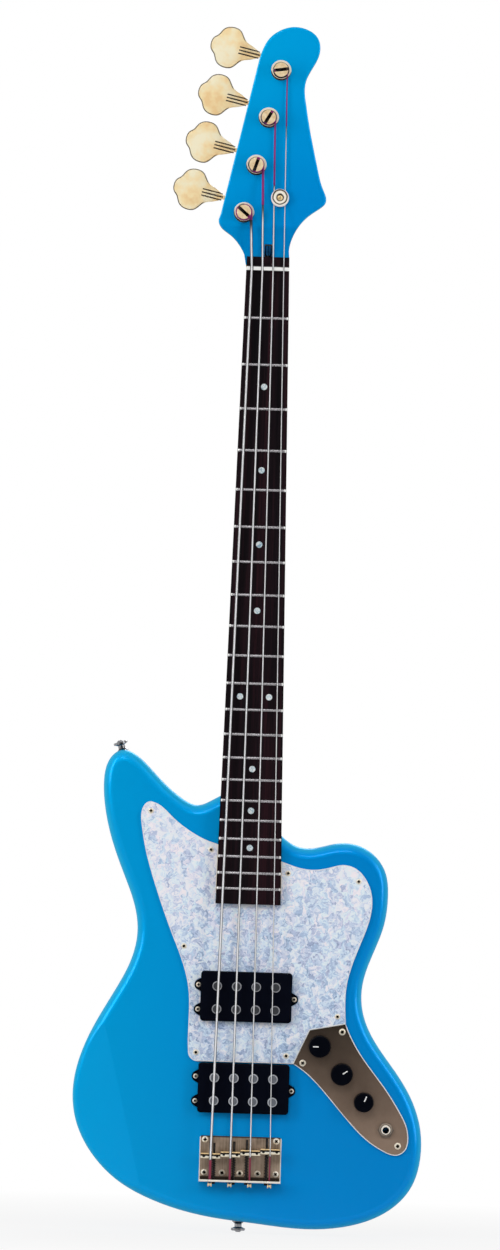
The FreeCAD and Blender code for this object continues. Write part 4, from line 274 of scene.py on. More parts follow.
def maple_and_lacquer(name):
    """Pale figured maple, lacquered blue on the headstock's face down to a masked line, with painted shade
    in the scoop.
    """
    finish = Finish(name, coat_roughness=0.06, specular_ior_level=0.0)
    place = finish.places()
    x, y, z = finish.parts_of(place)
    long_grain = finish.stretched(place, (160.0, 160.0, 5.0))
    grain = finish.noise(long_grain, 1.0, 6.0, 0.6, 0.6)
    flame = finish.noise(finish.stretched(place, (20.0, 20.0, 60.0)), 1.0, 2.0)
    wood = finish.ramp(grain * 0.75 + flame * 0.25, ((0.25, (0.50, 0.285, 0.11)), (0.5, (0.66, 0.42, 0.19)),
                                                     (0.75, (0.74, 0.51, 0.26))))
    mask = finish.between(z, 0.9358, 0.9362) * finish.between(0.0 - y, 0.01745, 0.0176)
    scoop = finish.between(z, 0.977, 0.972)
    # Painted shade: the blue darker in the scoop between the nut and the headstock's face.
    paint = finish.blend(scoop * 0.35, blue_paint_with_painted_light(finish, place), (0.0, 0.10, 0.30))
    finish.feed("Base Color", finish.blend(mask, wood, paint))
    finish.feed("Metallic", mask * (1.0 - scoop) * 0.28)
    finish.feed("Roughness", 0.34 - mask * 0.02)
    finish.feed("Coat Weight", 0.34 - mask * (0.24 + scoop * 0.1))
    finish.bump(grain * (1.0 - mask), 0.08, 0.0002)
    return finish.material


def dark_rosewood(name):
    """Nearly black wood with reddish streaks and open pores along the neck."""
    finish = Finish(name, specular_ior_level=0.06)
    place = finish.places()
    streak = finish.noise(finish.stretched(place, (240.0, 240.0, 5.0)), 1.0, 5.0, 0.62, 0.5)
    band = finish.noise(finish.stretched(place, (70.0, 70.0, 1.6)), 1.0, 3.0, 0.5)
    wood = finish.ramp(streak * 0.6 + band * 0.4, ((0.36, (0.0022, 0.0016, 0.0026)),
                                                   (0.5, (0.0075, 0.0038, 0.0060)),
                                                   (0.64, (0.027, 0.0075, 0.0115))))
    pore = finish.noise(finish.stretched(place, (1500.0, 1500.0, 60.0)), 1.0, 2.0)
    pits = finish.between(pore, 0.62, 0.7)
    finish.feed("Base Color", finish.blend(pits * 0.7, wood, (0.0015, 0.001, 0.0012)))
    finish.feed("Roughness", 0.5 + streak * 0.2)
    finish.bump(streak * 0.4 - pits, 0.25, 0.0002)
    return finish.material


def pearl_laminate(name):
    """White pearl sheet: fine flakes with pale blue, pink and grey casts, painted shade towards its lower
    end, plain white at its cut edge.
    """
    finish = Finish(name, coat_weight=0.25, coat_roughness=0.05, specular_ior_level=0.2)
    place = finish.places()
    x, y, z = finish.parts_of(place)
    swirl = finish.add("ShaderNodeTexNoise", None, {"Vector": place, "Scale": 110.0, "Detail": 2.0}, 1)
    warp = finish.add("ShaderNodeVectorMath", {"operation": "MULTIPLY_ADD"},
                      {0: swirl, 1: (0.015, 0.015, 0.015), 2: place})
    flake = finish.add("ShaderNodeTexVoronoi", {"feature": "F1"},
                       {"Vector": finish.stretched(warp, (1.0, 1.0, 0.7)), "Scale": 210.0}, 1)
    red, green, blue = finish.parts_of(flake)
    small = finish.add("ShaderNodeTexVoronoi", {"feature": "F1"}, {"Vector": warp, "Scale": 520.0}, 1)
    grit, other, rest = finish.parts_of(small)
    drift = finish.noise(place, 30.0, 3.0)
    # Painted shade: the sheet darker and bluer towards its lower end.
    low = finish.between(z, 0.36, 0.20)
    tone = red * 0.44 + grit * 0.42 + drift * 0.36 + 0.08 - low * 0.18
    grey = finish.ramp(tone, ((0.18, (0.34, 0.42, 0.60)), (0.40, (0.58, 0.67, 0.84)),
                              (0.62, (0.84, 0.89, 0.98)), (0.82, (1.0, 1.0, 1.0))))
    cast = finish.blend(green - low * 0.3, (0.80, 0.92, 1.0), (1.0, 0.92, 0.98))
    sheet = finish.add("ShaderNodeMix", {"data_type": "RGBA", "blend_type": "MULTIPLY"},
                       {0: 0.8, 6: grey, 7: cast}, 2)
    edge = finish.between(0.0 - y, 0.02430, 0.02445)
    finish.feed("Base Color", finish.blend(edge, (0.86, 0.86, 0.84), sheet))
    finish.feed("Roughness", 0.2 + grit * 0.12)
    return finish.material


def plain_metal(name, colour, dark, roughness, scale=220.0, metallic=1.0):
    """Plated or bare metal with a faint cloudiness in its polish."""
    finish = Finish(name, metallic=metallic)
    place = finish.places()
    cloud = finish.noise(place, scale, 3.0)
    finish.feed("Base Color", finish.blend(finish.between(cloud, 0.3, 0.75), dark, colour))
    finish.feed("Roughness", roughness + cloud * 0.08)
    return finish.material


def key_gold(name):
    """Pale gold keys with painted shade along their rounded rims and dark lines of painted shade along their
    collars.
    """
    finish = Finish(name, metallic=0.05)
    place = finish.places()
    x, y, z = finish.parts_of(place)
    cloud = finish.noise(place, 45.0, 3.0, 0.6)
    gold = finish.ramp(cloud, ((0.34, (0.94, 0.66, 0.32)), (0.46, (1.0, 0.80, 0.45)),
                               (0.60, (1.0, 0.91, 0.65))))
    sine = math.sin(ROW_TILT)
    cosine = math.cos(ROW_TILT)
    outward = z * sine - x * cosine - (KEY_PLACE[1] * sine - KEY_PLACE[0] * cosine) * MM
    along = x * sine + z * cosine - (KEY_PLACE[0] * sine + KEY_PLACE[1] * cosine) * MM
    aside = along.from_nearest(POST_PITCH / 2 * MM)
    collar = finish.between(outward, 0.0238, 0.0240) * finish.between(outward, 0.0452, 0.0450)
    # Painted shade: dark lines along the collars.
    line = finish.between(aside.from_nearest(KEY_LINE_PITCH / 2 * MM), 0.72 * MM, 0.62 * MM)
    collar_line_shade = line * collar * finish.between(aside, 0.0042, 0.0040)
    across, front, up = finish.facing()
    # Painted shade: dark along the rounded rims of the leaves.
    rim = finish.between(front.size(), 0.995, 0.95) * finish.between(outward, 0.0400, 0.0420)
    finish.feed("Base Color", finish.blend(rim * 0.92 + collar_line_shade, gold, (0.045, 0.028, 0.015)))
    finish.feed("Roughness", 0.28 + cloud * 0.1)
    return finish.material


def gold_with_painted_rings(name, node, stops):
    """Turned metal with painted reflections: dark and pale rings round a node's middle, by centimetres from
    it.
    """
    finish = Finish(name, metallic=0.05, roughness=0.25)
    place = finish.places()
    x, y, z = finish.parts_of(place)
    spots = [vertex.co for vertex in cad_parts[node].data.vertices]
    right = x - (min(spot.x for spot in spots) + max(spot.x for spot in spots)) / 2
    up = z - (min(spot.z for spot in spots) + max(spot.z for spot in spots)) / 2
    # The painted rings sit off centre, reaching further out above the middle.
    reach = (right * right + up * up).power(0.5) + finish.noise(place, 300.0, 2.0) * 0.0008 - up * 0.12
    finish.feed("Base Color", finish.ramp(reach * 100.0, stops))
    return finish.material


def bushing_gold(name):
    """Bushings with a bright flange, painted shade in a dark ring round their posts and painted shade on the
    outer edge, deepest below.
    """
    finish = Finish(name, metallic=0.05, roughness=0.22)
    place = finish.places()
    x, y, z = finish.parts_of(place)
    sine = math.sin(ROW_TILT)
    cosine = math.cos(ROW_TILT)
    foot_x, foot_down = post_foot(0)
    outward = z * sine - x * cosine - ((NUT_UP - foot_down) * sine - foot_x * cosine) * MM
    along = x * sine + z * cosine - (foot_x * sine + (NUT_UP - foot_down) * cosine) * MM
    past = along.past_nearest(POST_PITCH * MM)
    ragged = finish.noise(place, 260.0, 2.0) * 0.0008
    reach = (outward * outward + past * past).power(0.5) + ragged
    # Painted shade: a dark ring round each post and a dark outer edge, deepest below.
    gap = finish.between(reach, 0.0086, 0.0081)
    below = finish.between(reach - past * 0.16, 0.0100, 0.0104)
    cloud = finish.noise(place, 200.0, 2.0)
    flange = finish.blend(cloud, (1.0, 0.86, 0.62), (1.0, 0.94, 0.80))
    finish.feed("Base Color", finish.blend(gap + below, flange, (0.02, 0.013, 0.01)))
    return finish.material


def bridge_metal(name):
    """The bridge's dull brushed gold, with painted highlights on its lip and sides and painted shade beside
    the lip and at its upper edge.
    """
    finish = Finish(name, metallic=0.8)
    place = finish.places()
    x, y, z = finish.parts_of(place)
    brush = finish.noise(finish.stretched(place, (1400.0, 300.0, 40.0)), 1.0, 3.0)
    cloud = finish.noise(place, 110.0, 3.0)
    grain = finish.between(brush * 0.5 + cloud * 0.5, 0.3, 0.7)
    plate = finish.blend(grain, (0.21, 0.150, 0.105), (0.64, 0.49, 0.37))
    inner = (NUT_UP - LIP_DOWN) * MM
    # Painted shade: dark beside the lip and along the plate's upper edge.
    corner = finish.between(z, inner + 0.0036, inner + 0.0026)
    upper = finish.between(z, inner + 0.0407, inner + 0.0417)
    shaded = finish.blend(corner * 0.9 + upper * 0.85, plate, (0.02, 0.014, 0.01))
    # Painted highlights: pale along the sides and on the lip's front face.
    side = finish.between(x.size(), (BRIDGE_WIDTH / 2 - 1.1) * MM, (BRIDGE_WIDTH / 2 - 0.7) * MM)
    lip = finish.between(0.0 - y, 0.0378, 0.0384)
    pale = lip + side * (1.0 - lip)
    finish.feed("Base Color", finish.blend(pale, shaded, (1.0, 0.93, 0.82)))
    finish.feed("Metallic", 0.8 - pale * 0.5)
    finish.feed("Roughness", 0.26 + brush * 0.14)
    return finish.material


def saddle_metal(name, middle_down):
    """A polished saddle painted with light and shade: a gold highlight on its upper edge, a dark band below
    it and a pale lower half.
    """
    finish = Finish(name, metallic=0.2, roughness=0.26)
    place = finish.places()
    x, y, z = finish.parts_of(place)
    top = (NUT_UP - middle_down + 2.75) * MM
    ragged = finish.noise(place, 420.0, 2.0) * 0.0009
    # Painted light and shade down the saddle's front, from its upper edge.
    painted_light_fall = finish.between(z + ragged, top + 0.00045, top - 0.0055 + 0.00045)
    finish.feed("Base Color", finish.ramp(painted_light_fall, ((0.12, (1.0, 0.70, 0.34)), (0.20, (0.02, 0.012, 0.008)),
                                                 (0.46, (0.02, 0.012, 0.008)), (0.54, (1.0, 0.95, 0.82)),
                                                 (0.82, (1.0, 0.90, 0.68)), (1.0, (0.20, 0.12, 0.06)))))
    return finish.material


def pole_metal(name, colour, dark, rim, last_row_down):
    """Round poles with a painted highlight on the turned rim round a duller face."""
    finish = Finish(name, metallic=0.5)
    place = finish.places()
    x, y, z = finish.parts_of(place)
    right = (x - (PICKUP_X - POLE_SPREAD / 2) * MM).from_nearest(POLE_SPREAD / 6 * MM)
    up = (z - (NUT_UP - last_row_down) * MM).from_nearest(POLE_ROWS / 2 * MM)
    reach = (right * right + up * up).power(0.5)
    # Painted highlight: a pale ring on each pole's turned rim.
    ring = finish.between(reach, 0.0036, 0.0039) * finish.between(reach, 0.0047, 0.0045)
    cloud = finish.noise(place, 500.0, 2.0)
    finish.feed("Base Color", finish.blend(ring, finish.blend(cloud, dark, colour), rim))
    finish.feed("Roughness", 0.4 + cloud * 0.1)
    return finish.material


def fret_wire(name):
    """Polished fret wire, with a painted highlight at its bevelled ends."""
    finish = Finish(name, metallic=0.8)
    place = finish.places()
    x, y, z = finish.parts_of(place)
    half = (NUT_WIDTH + (NUT_UP * MM - z) * ((BOARD_END_WIDTH - NUT_WIDTH) / BOARD_LENGTH / MM)) * (0.5 * MM)
    # Painted highlight: near white at the bevelled ends.
    end = finish.between(half - x.size(), 0.0024, 0.0014)
    cloud = finish.noise(place, 500.0, 3.0)
    wire = finish.blend(cloud, (0.30, 0.285, 0.30), (0.52, 0.50, 0.52))
    finish.feed("Base Color", finish.blend(end, wire, (0.98, 0.98, 0.96)))
    finish.feed("Metallic", 0.8 - end * 0.6)
    finish.feed("Roughness", 0.22 + cloud * 0.1)
    return finish.material


def smoked_plate(name):
    """The control plate's dull, dark gold, with painted light making it lighter towards its lower end."""
    finish = Finish(name, metallic=0.7)
    place = finish.places()
    x, y, z = finish.parts_of(place)
    cloud = finish.noise(place, 60.0, 4.0, 0.6)
    # Painted light: darker near the top, lighter towards the lower end.
    painted_light_fall = finish.between(z, 0.195, 0.085)
    low = finish.blend(cloud, (0.022, 0.014, 0.009), (0.048, 0.033, 0.022))
    high = finish.blend(cloud, (0.250, 0.172, 0.126), (0.350, 0.252, 0.188))
    finish.feed("Base Color", finish.blend(painted_light_fall, low, high))
    brush = finish.noise(finish.stretched(place, (1800.0, 1800.0, 90.0)), 1.0, 2.0)
    finish.feed("Roughness", 0.38 + brush * 0.16)
    return finish.material


def moulded_black(name, colour, roughness, grain):
    """Black moulded plastic with a fine skin."""
    finish = Finish(name, specular_ior_level=0.02)
    place = finish.places()
    cloud = finish.noise(place, 90.0, 2.0)
    lighter = tuple(channel * 1.7 + 0.0005 for channel in colour)
    finish.feed("Base Color", finish.blend(cloud, colour, lighter))
    finish.feed("Roughness", roughness + cloud * 0.1)
    skin = finish.noise(place, 2600.0, 2.0)
    finish.bump(skin, grain, 0.0002)
    return finish.material


def pearl_dot(name):
    finish = Finish(name, roughness=0.2, coat_weight=0.15)
    place = finish.places()
    swirl = finish.noise(place, 420.0, 3.0, 0.5, 1.4)
    finish.feed("Base Color", finish.ramp(swirl, ((0.36, (0.30, 0.48, 0.60)), (0.48, (0.72, 0.84, 0.88)),
                                                  (0.6, (0.92, 0.94, 0.94)))))
    return finish.material


def bone_white(name):
    """White bone, with painted shade darkening it along the edges that meet the wood."""
    finish = Finish(name, roughness=0.35)
    place = finish.places()
    x, y, z = finish.parts_of(place)
    grain = finish.noise(finish.stretched(place, (120.0, 700.0, 700.0)), 1.0, 3.0)
    bone = finish.blend(grain, (0.90, 0.90, 0.87), (0.96, 0.96, 0.95))
    # Painted shade: dark along both edges, outside the middle band of the nut.
    edge_shade = finish.between((z - (NUT_UP - 0.2) * MM).size(), 1.5 * MM, 1.9 * MM)
    finish.feed("Base Color", finish.blend(edge_shade, bone, (0.02, 0.014, 0.015)))
    return finish.material


def wound_wire(name, colour, dark, ridge, roughness=0.3, metallic=1.0, flank_shade=0.0):
    """Wire wound round a core: ridges square to its length, with painted shade in the troughs and on the
    flanks.
    """
    finish = Finish(name, metallic=metallic)
    around, along, rest = finish.parts_of(finish.add("ShaderNodeUVMap"))
    wave = (along * (2.0 * math.pi / ridge) + around * (2.0 * math.pi)).sine() * 0.5 + 0.5
    across, front, up = finish.facing()
    # Painted shade: darker on the flanks that turn away from the front.
    side = finish.between(front.size(), 0.95, 0.72) * flank_shade
    # Painted shade: the dark colour lies in the troughs between the ridges.
    finish.feed("Base Color", finish.blend(side, finish.blend(wave, dark, colour), (0.03, 0.03, 0.035)))
    finish.feed("Roughness", roughness + (1.0 - wave) * 0.15)
    finish.bump(wave, 0.6, 0.00012)
    return finish.material


def open_foam(name):
    finish = Finish(name, roughness=0.9)
    place = finish.places()
    cell = finish.noise(place, 700.0, 3.0)
    finish.feed("Base Color", finish.blend(cell, (0.015, 0.015, 0.017), (0.07, 0.07, 0.075)))
    finish.bump(cell, 0.6, 0.0006)
    return finish.material


def coil_copper(name):
    finish = Finish(name, metallic=0.7, roughness=0.4)
    place = finish.places()
    x, y, z = finish.parts_of(place)
    layer = (y * 12000.0).sine() * 0.5 + 0.5
    finish.feed("Base Color", finish.blend(layer, (0.12, 0.035, 0.015), (0.42, 0.15, 0.06)))
    finish.bump(layer, 0.4, 0.0002)
    return finish.material


def white_paint_and_highlight(name):
    finish = Finish(name, roughness=0.4)
    cloud = finish.noise(finish.places(), 900.0, 2.0)
    finish.feed("Base Color", finish.blend(cloud, (0.84, 0.84, 0.82), (0.93, 0.93, 0.92)))
    return finish.material


GOLD = plain_metal("gold_plating", (0.99, 0.80, 0.46), (0.88, 0.62, 0.28), 0.2, 220.0, 0.75)
CREAM_GOLD = plain_metal("cream_gold", (1.0, 0.95, 0.83), (0.98, 0.86, 0.66), 0.24, 220.0, 0.15)
BUSHING_GOLD = bushing_gold("bushing_gold")
POST_GOLD = plain_metal("post_gold", (1.0, 0.84, 0.56), (0.78, 0.54, 0.28), 0.22, 260.0, 0.12)
NUT_GOLD = gold_with_painted_rings("nut_gold", "jack_socket", (
    (0.30, (0.03, 0.025, 0.02)), (0.36, (1.0, 0.93, 0.82)), (0.46, (1.0, 0.93, 0.82)),
    (0.52, (0.06, 0.045, 0.035)), (0.60, (0.42, 0.34, 0.27)), (0.70, (0.16, 0.125, 0.10))))
KEY_GOLD = key_gold("key_gold")
CAP_GOLD = gold_with_painted_rings("retainer_gold", "string_retainer", (
    (0.16, (0.90, 0.62, 0.30)), (0.24, (0.03, 0.02, 0.012)), (0.38, (0.03, 0.02, 0.012)),
    (0.46, (1.0, 0.93, 0.80)), (0.62, (1.0, 0.93, 0.80)), (0.70, (0.04, 0.025, 0.015)),
    (0.76, (0.04, 0.025, 0.015)), (0.82, (1.0, 0.95, 0.86))))
BRIDGE_GOLD = bridge_metal("bridge_gold")
STEEL = plain_metal("bright_steel", (0.66, 0.66, 0.68), (0.50, 0.50, 0.52), 0.22)
DARK_STEEL = plain_metal("dark_steel", (0.050, 0.047, 0.045), (0.016, 0.015, 0.014), 0.4)
# Painted shade, for the dark pieces set in screw heads and post slots.
SHADE_BLACK = plain_metal("painted_shade_black", (0.030, 0.022, 0.016), (0.010, 0.008, 0.006), 0.5)
BLUED_STEEL = plain_metal("blued_steel", (0.006, 0.060, 0.150), (0.003, 0.022, 0.060), 0.4)
# Painted reflection: dark patches in the chrome stand in for the dark things it mirrors.
CHROME = plain_metal("chrome_plating", (0.46, 0.47, 0.49), (0.10, 0.10, 0.11), 0.14, 320.0)
FRET_METAL = fret_wire("fret_metal")
NECK_POLE = pole_metal("neck_pole_steel", (0.060, 0.063, 0.072), (0.030, 0.032, 0.038), (0.42, 0.43, 0.46),
                       PICKUP_DOWNS[0] + POLE_ROWS / 2)
BRIDGE_POLE = pole_metal("bridge_pole_steel", (0.22, 0.235, 0.27), (0.10, 0.11, 0.13), (0.62, 0.64, 0.68),
                         PICKUP_DOWNS[1] + POLE_ROWS / 2)
BLUE = blue_lacquer("blue_lacquer")
NECK_WOOD = maple_and_lacquer("maple_and_lacquer")
ROSEWOOD = dark_rosewood("dark_rosewood")
PEARL_SHEET = pearl_laminate("pearl_laminate")
SMOKED = smoked_plate("smoked_plate")
PICKUP_BLACK = moulded_black("pickup_black", (0.0012, 0.0018, 0.0050), 0.45, 0.12)
KNOB_BLACK = moulded_black("knob_black", (0.0012, 0.0016, 0.0035), 0.3, 0.03)
DOT = pearl_dot("pearl_dot")
BONE = bone_white("bone_white")
FOAM = open_foam("open_foam")
COPPER = coil_copper("coil_copper")
WHITE = white_paint_and_highlight("white_paint_and_highlight")
STRING_WIRE = wound_wire("string_wire", (1.0, 1.0, 1.0), (0.60, 0.60, 0.62), 0.00045, 0.3, 0.45, 0.92)
TREBLE_WIRE = wound_wire("treble_string_wire", (1.0, 1.0, 1.0), (0.70, 0.70, 0.72), 0.0003, 0.3, 0.45, 0.8)
# Painted shade: the string tails leading into the posts' slots are dark, like the slots' shade.
SHADED_TAIL_WIRE = wound_wire("string_tail_shade", (0.10, 0.09, 0.09), (0.03, 0.03, 0.03), 0.0004)
PURPLE_SILK = wound_wire("purple_silk", (0.36, 0.02, 0.22), (0.20, 0.008, 0.12), 0.0006, 0.6, 0.0)
RED_SILK = wound_wire("red_silk", (0.40, 0.035, 0.085), (0.20, 0.010, 0.035), 0.0006, 0.6, 0.0, 0.6)
SPRING_WIRE = wound_wire("spring_wire", (0.060, 0.055, 0.055), (0.022, 0.020, 0.020), 0.002, 0.35)

NODE_FINISHES = {
    BLUE: ("body",),
    NECK_WOOD: ("neck",),
    ROSEWOOD: ("fingerboard",),
    FRET_METAL: ("frets",),
    DOT: ("position_markers",),
    BONE: ("nut",),
    PEARL_SHEET: ("pickguard",),
    SMOKED: ("control_plate",),
    PICKUP_BLACK: ("neck_pickup_cover", "bridge_pickup_cover"),
    KNOB_BLACK: ("neck_volume_knob", "bridge_volume_knob", "tone_knob"),
    NECK_POLE: ("neck_pickup_poles",),
    BRIDGE_POLE: ("bridge_pickup_poles",),
    COPPER: ("neck_pickup_coils", "bridge_pickup_coils"),
    FOAM: ("pickup_foam",),
    STEEL: ("potentiometers",),
    CHROME: ("strap_buttons",),
    DARK_STEEL: ("truss_rod", "intonation_screws", "saddle_height_screws_e", "saddle_height_screws_a",
                 "saddle_height_screws_d", "saddle_height_screws_g"),
    BRIDGE_GOLD: ("bridge_plate",),
    KEY_GOLD: ("tuning_key_e", "tuning_key_a", "tuning_key_d", "tuning_key_g"),
    CAP_GOLD: ("string_retainer",),
    NUT_GOLD: ("control_nuts", "jack_socket"),
    POST_GOLD: ("string_post_e", "string_post_a", "string_post_d", "string_post_g"),
    BUSHING_GOLD: ("tuner_bushings",),
    BLUED_STEEL: ("truss_rod_nut",),
    CREAM_GOLD: ("bridge_screws", "face_screws", "neck_pickup_screws", "bridge_pickup_screws"),
    GOLD: ("headstock_screws", "tuner_plates", "neck_plate", "neck_screws")}
for number, name in enumerate(STRINGS):
    finish = saddle_metal("saddle_gold_" + name, SCALE + SADDLE_SETBACKS[number])
    NODE_FINISHES[finish] = ("saddle_" + name,)

for material, nodes in NODE_FINISHES.items():
    for node in nodes:
        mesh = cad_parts[node].data
        mesh.materials.clear()
        mesh.materials.append(material)


# Shapes


def piece(name, mesh_maker, material, body, replaced=None):
    """A new mesh on a body, with its finish, hiding the part that it replaces."""
    mesh = bpy.data.meshes.new(name)
    mesh_maker.to_mesh(mesh)
    mesh_maker.free()
    for face in mesh.polygons:
        face.use_smooth = True
    mesh.materials.append(material)
    thing = bpy.data.objects.new(name, mesh)
    bpy.context.scene.collection.objects.link(thing)
    if body:
        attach(thing, body)
    if replaced:
        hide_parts(replaced)
    return thing


def tube(points, radius, sides):
    """A round wire through the points, with its length in metres along the second texture axis."""
    made = bmesh.new()
    layer = made.loops.layers.uv.new("UVMap")
    count = len(points)
    heads = []
    for number in range(count):
        before = points[max(number - 1, 0)]
        after = points[min(number + 1, count - 1)]
        heads.append((after - before).normalized())
    side = heads[0].orthogonal().normalized()
    rings = []
    runs = [0.0]
    for number in range(count):
        if number:
            runs.append(runs[-1] + (points[number] - points[number - 1]).length)
        side = (side - heads[number] * side.dot(heads[number])).normalized()
        other = heads[number].cross(side)
        ring = []
        for step in range(sides):
            angle = 2.0 * math.pi * step / sides
            offset = side * math.cos(angle) + other * math.sin(angle)
            ring.append(made.verts.new(points[number] + offset * radius))
        rings.append(ring)
    for number in range(count - 1):
        for step in range(sides):
            ahead = (step + 1) % sides
            face = made.faces.new((rings[number][step], rings[number][ahead], rings[number + 1][ahead],
                                   rings[number + 1][step]))
            corners = ((step, number), (step + 1, number), (step + 1, number + 1), (step, number + 1))
            for loop, (turn, place) in zip(face.loops, corners):
                loop[layer].uv = (turn / sides, runs[place])
    made.faces.new(list(reversed(rings[0])))
    made.faces.new(rings[-1])
    return made


def spun(profile, base, axis, steps=32):
    """A turned shape from a closed row of (radius, height) points in millimetres."""
    made = bmesh.new()
    aim = Vector((0, 0, 1)).rotation_difference(axis).to_matrix()
    rings = []
    for radius, height in profile:
        ring = []
        for step in range(steps):
            angle = 2.0 * math.pi * step / steps
            spot = Vector((radius * math.cos(angle), radius * math.sin(angle), height)) * MM
            ring.append(made.verts.new(base + aim @ spot))
        rings.append(ring)
    closed = rings + [rings[0]]
    for low, high in zip(closed, closed[1:]):
        for step in range(steps):
            ahead = (step + 1) % steps
            made.faces.new((low[step], low[ahead], high[ahead], high[step]))
    bmesh.ops.recalc_face_normals(made, faces=made.faces)
    return made


def bar(length, width, height, bevel, placement):
    """A small bar with rounded edges, its near end at the placement's origin and its length along X."""
    made = bmesh.new()
    bmesh.ops.create_cube(made, size=1.0)
    for vert in made.verts:
        vert.co = Vector(((vert.co.x + 0.5) * length, vert.co.y * width, vert.co.z * height)) * MM
    bmesh.ops.bevel(made, geom=made.edges[:], offset=bevel * MM, segments=2, profile=0.5, affect="EDGES")
    made.transform(placement)
    return made


def rounded_corner(before, corner, after, reach, steps):
    """Points round a corner of a string, from reach before it to reach after it."""
    first = corner + (before - corner).normalized() * reach
    last = corner + (after - corner).normalized() * reach
    found = []
    for step in range(steps + 1):
        share = step / steps
        found.append(first * (1 - share) ** 2 + corner * 2 * share * (1 - share) + last * share ** 2)
    return found


def face_loops(node, level):
    """The outlines of a plate's front face, longest first, as lists of points."""
    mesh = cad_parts[node].data
    uses = {}
    spots = {}
    for face in mesh.polygons:
        if face.normal.y > -0.99 or abs(face.center.y - level) > 0.00005:
            continue
        keys = []
        for index in face.vertices:
            spot = mesh.vertices[index].co
            key = (round(spot.x, 6), round(spot.z, 6))
            spots[key] = spot.copy()
            keys.append(key)
        for first, second in zip(keys, keys[1:] + keys[:1]):
            edge = (min(first, second), max(first, second))
            uses[edge] = uses.get(edge, 0) + 1
    links = {}
    for (first, second), count in uses.items():
        if count == 1:
            links.setdefault(first, []).append(second)
            links.setdefault(second, []).append(first)
    loops = []
    while links:
        start = next(iter(links))
        loop = [start]
        here = start
        while True:
            onward = [key for key in links.pop(here, []) if key in links]
            if not onward:
                break
            here = onward[0]
            loop.append(here)
        loops.append([spots[key] for key in loop])
    loops.sort(key=lambda points: -sum((a - b).length for a, b in zip(points, points[1:])))
    return loops


# Strings, windings, silk and ball ends


def crown_drop(x):
    return BOARD_RADIUS - math.sqrt(BOARD_RADIUS ** 2 - x ** 2)


def string_share(number, spread):
    return spread * (number / 3.0 - 0.5)


def string_route(number):
    """The corners of a string and the circle of its winding."""
    radius = STRING_DIAMETERS[number] / 2
    saddle_x = string_share(number, SADDLE_SPREAD)
    nut_x = string_share(number, NUT_SPREAD)
    ball = at(saddle_x, LIP_DOWN + 2.6, 12.6)
    saddle = at(saddle_x, SCALE + SADDLE_SETBACKS[number], 15.4 - crown_drop(saddle_x) + radius)
    nut = at(nut_x, 0, BOARD_TOP + 1.8 - crown_drop(nut_x) + radius)
    ring = POST_BARREL + 0.3 + radius
    x, down = post_foot(number)
    low = HEAD_FACE + 1.8 + radius
    flat = math.hypot(nut_x - x, -down)
    angle = math.atan2(down, nut_x - x) + math.acos(ring / flat)
    touch = at(x + ring * math.cos(angle), down - ring * math.sin(angle), low)
    corners = [ball, saddle, nut]
    if number > 1:
        above = RETAINER_UP - 8.8
        share = above * MM / (touch.z - nut.z)
        held_x = nut_x + (touch.x / MM - nut_x) * share
        corners.append(at(held_x, -above, HEAD_FACE + 4.5 - radius - 0.3))
    corners.append(touch)
    return corners, (x, down, low, ring, angle)


def winding_points(number, circle, start, end, step=math.pi / 16):
    """Points of the winding on a post between two angles past the place where the string meets it."""
    x, down, low, ring, angle = circle
    rise = WINDING_PITCHES[number] / (2 * math.pi)
    count = max(2, int(math.ceil((end - start) / step)))
    found = []
    for number_here in range(count + 1):
        turn = start + (end - start) * number_here / count
        here = angle + turn
        found.append(at(x + ring * math.cos(here), down - ring * math.sin(here), low + rise * turn))
    return found


def string_tail(number, circle):
    """The end of a string, led from its winding into the slot of its post."""
    x, down, low, ring, angle = circle
    radius = STRING_DIAMETERS[number] / 2
    last = 2 * math.pi * WINDING_TURNS[number]
    height = low + WINDING_PITCHES[number] * WINDING_TURNS[number]
    slot = math.radians(POST_SLOT_TURNS[number])
    turn = (slot - angle - last) % math.pi
    if turn < 0.5:
        turn += math.pi
    level = HEAD_FACE + POST_SLOT_FLOOR + radius + 0.4
    found = []
    for step in range(1, 13):
        share = step / 12
        reach = ring - (ring - POST_BARREL) * max(0.0, share - 0.7) / 0.3 * 0.5
        here = angle + last + turn * share
        out = height + (level - height) * share
        found.append(at(x + reach * math.cos(here), down - reach * math.sin(here), out))
    here = angle + last + turn
    for reach in (3.4, 1.6, 0.0):
        found.append(at(x + reach * math.cos(here), down - reach * math.sin(here), level))
    return found


def along_line(start, end, steps):
    return [start + (end - start) * (step / steps) for step in range(steps + 1)]


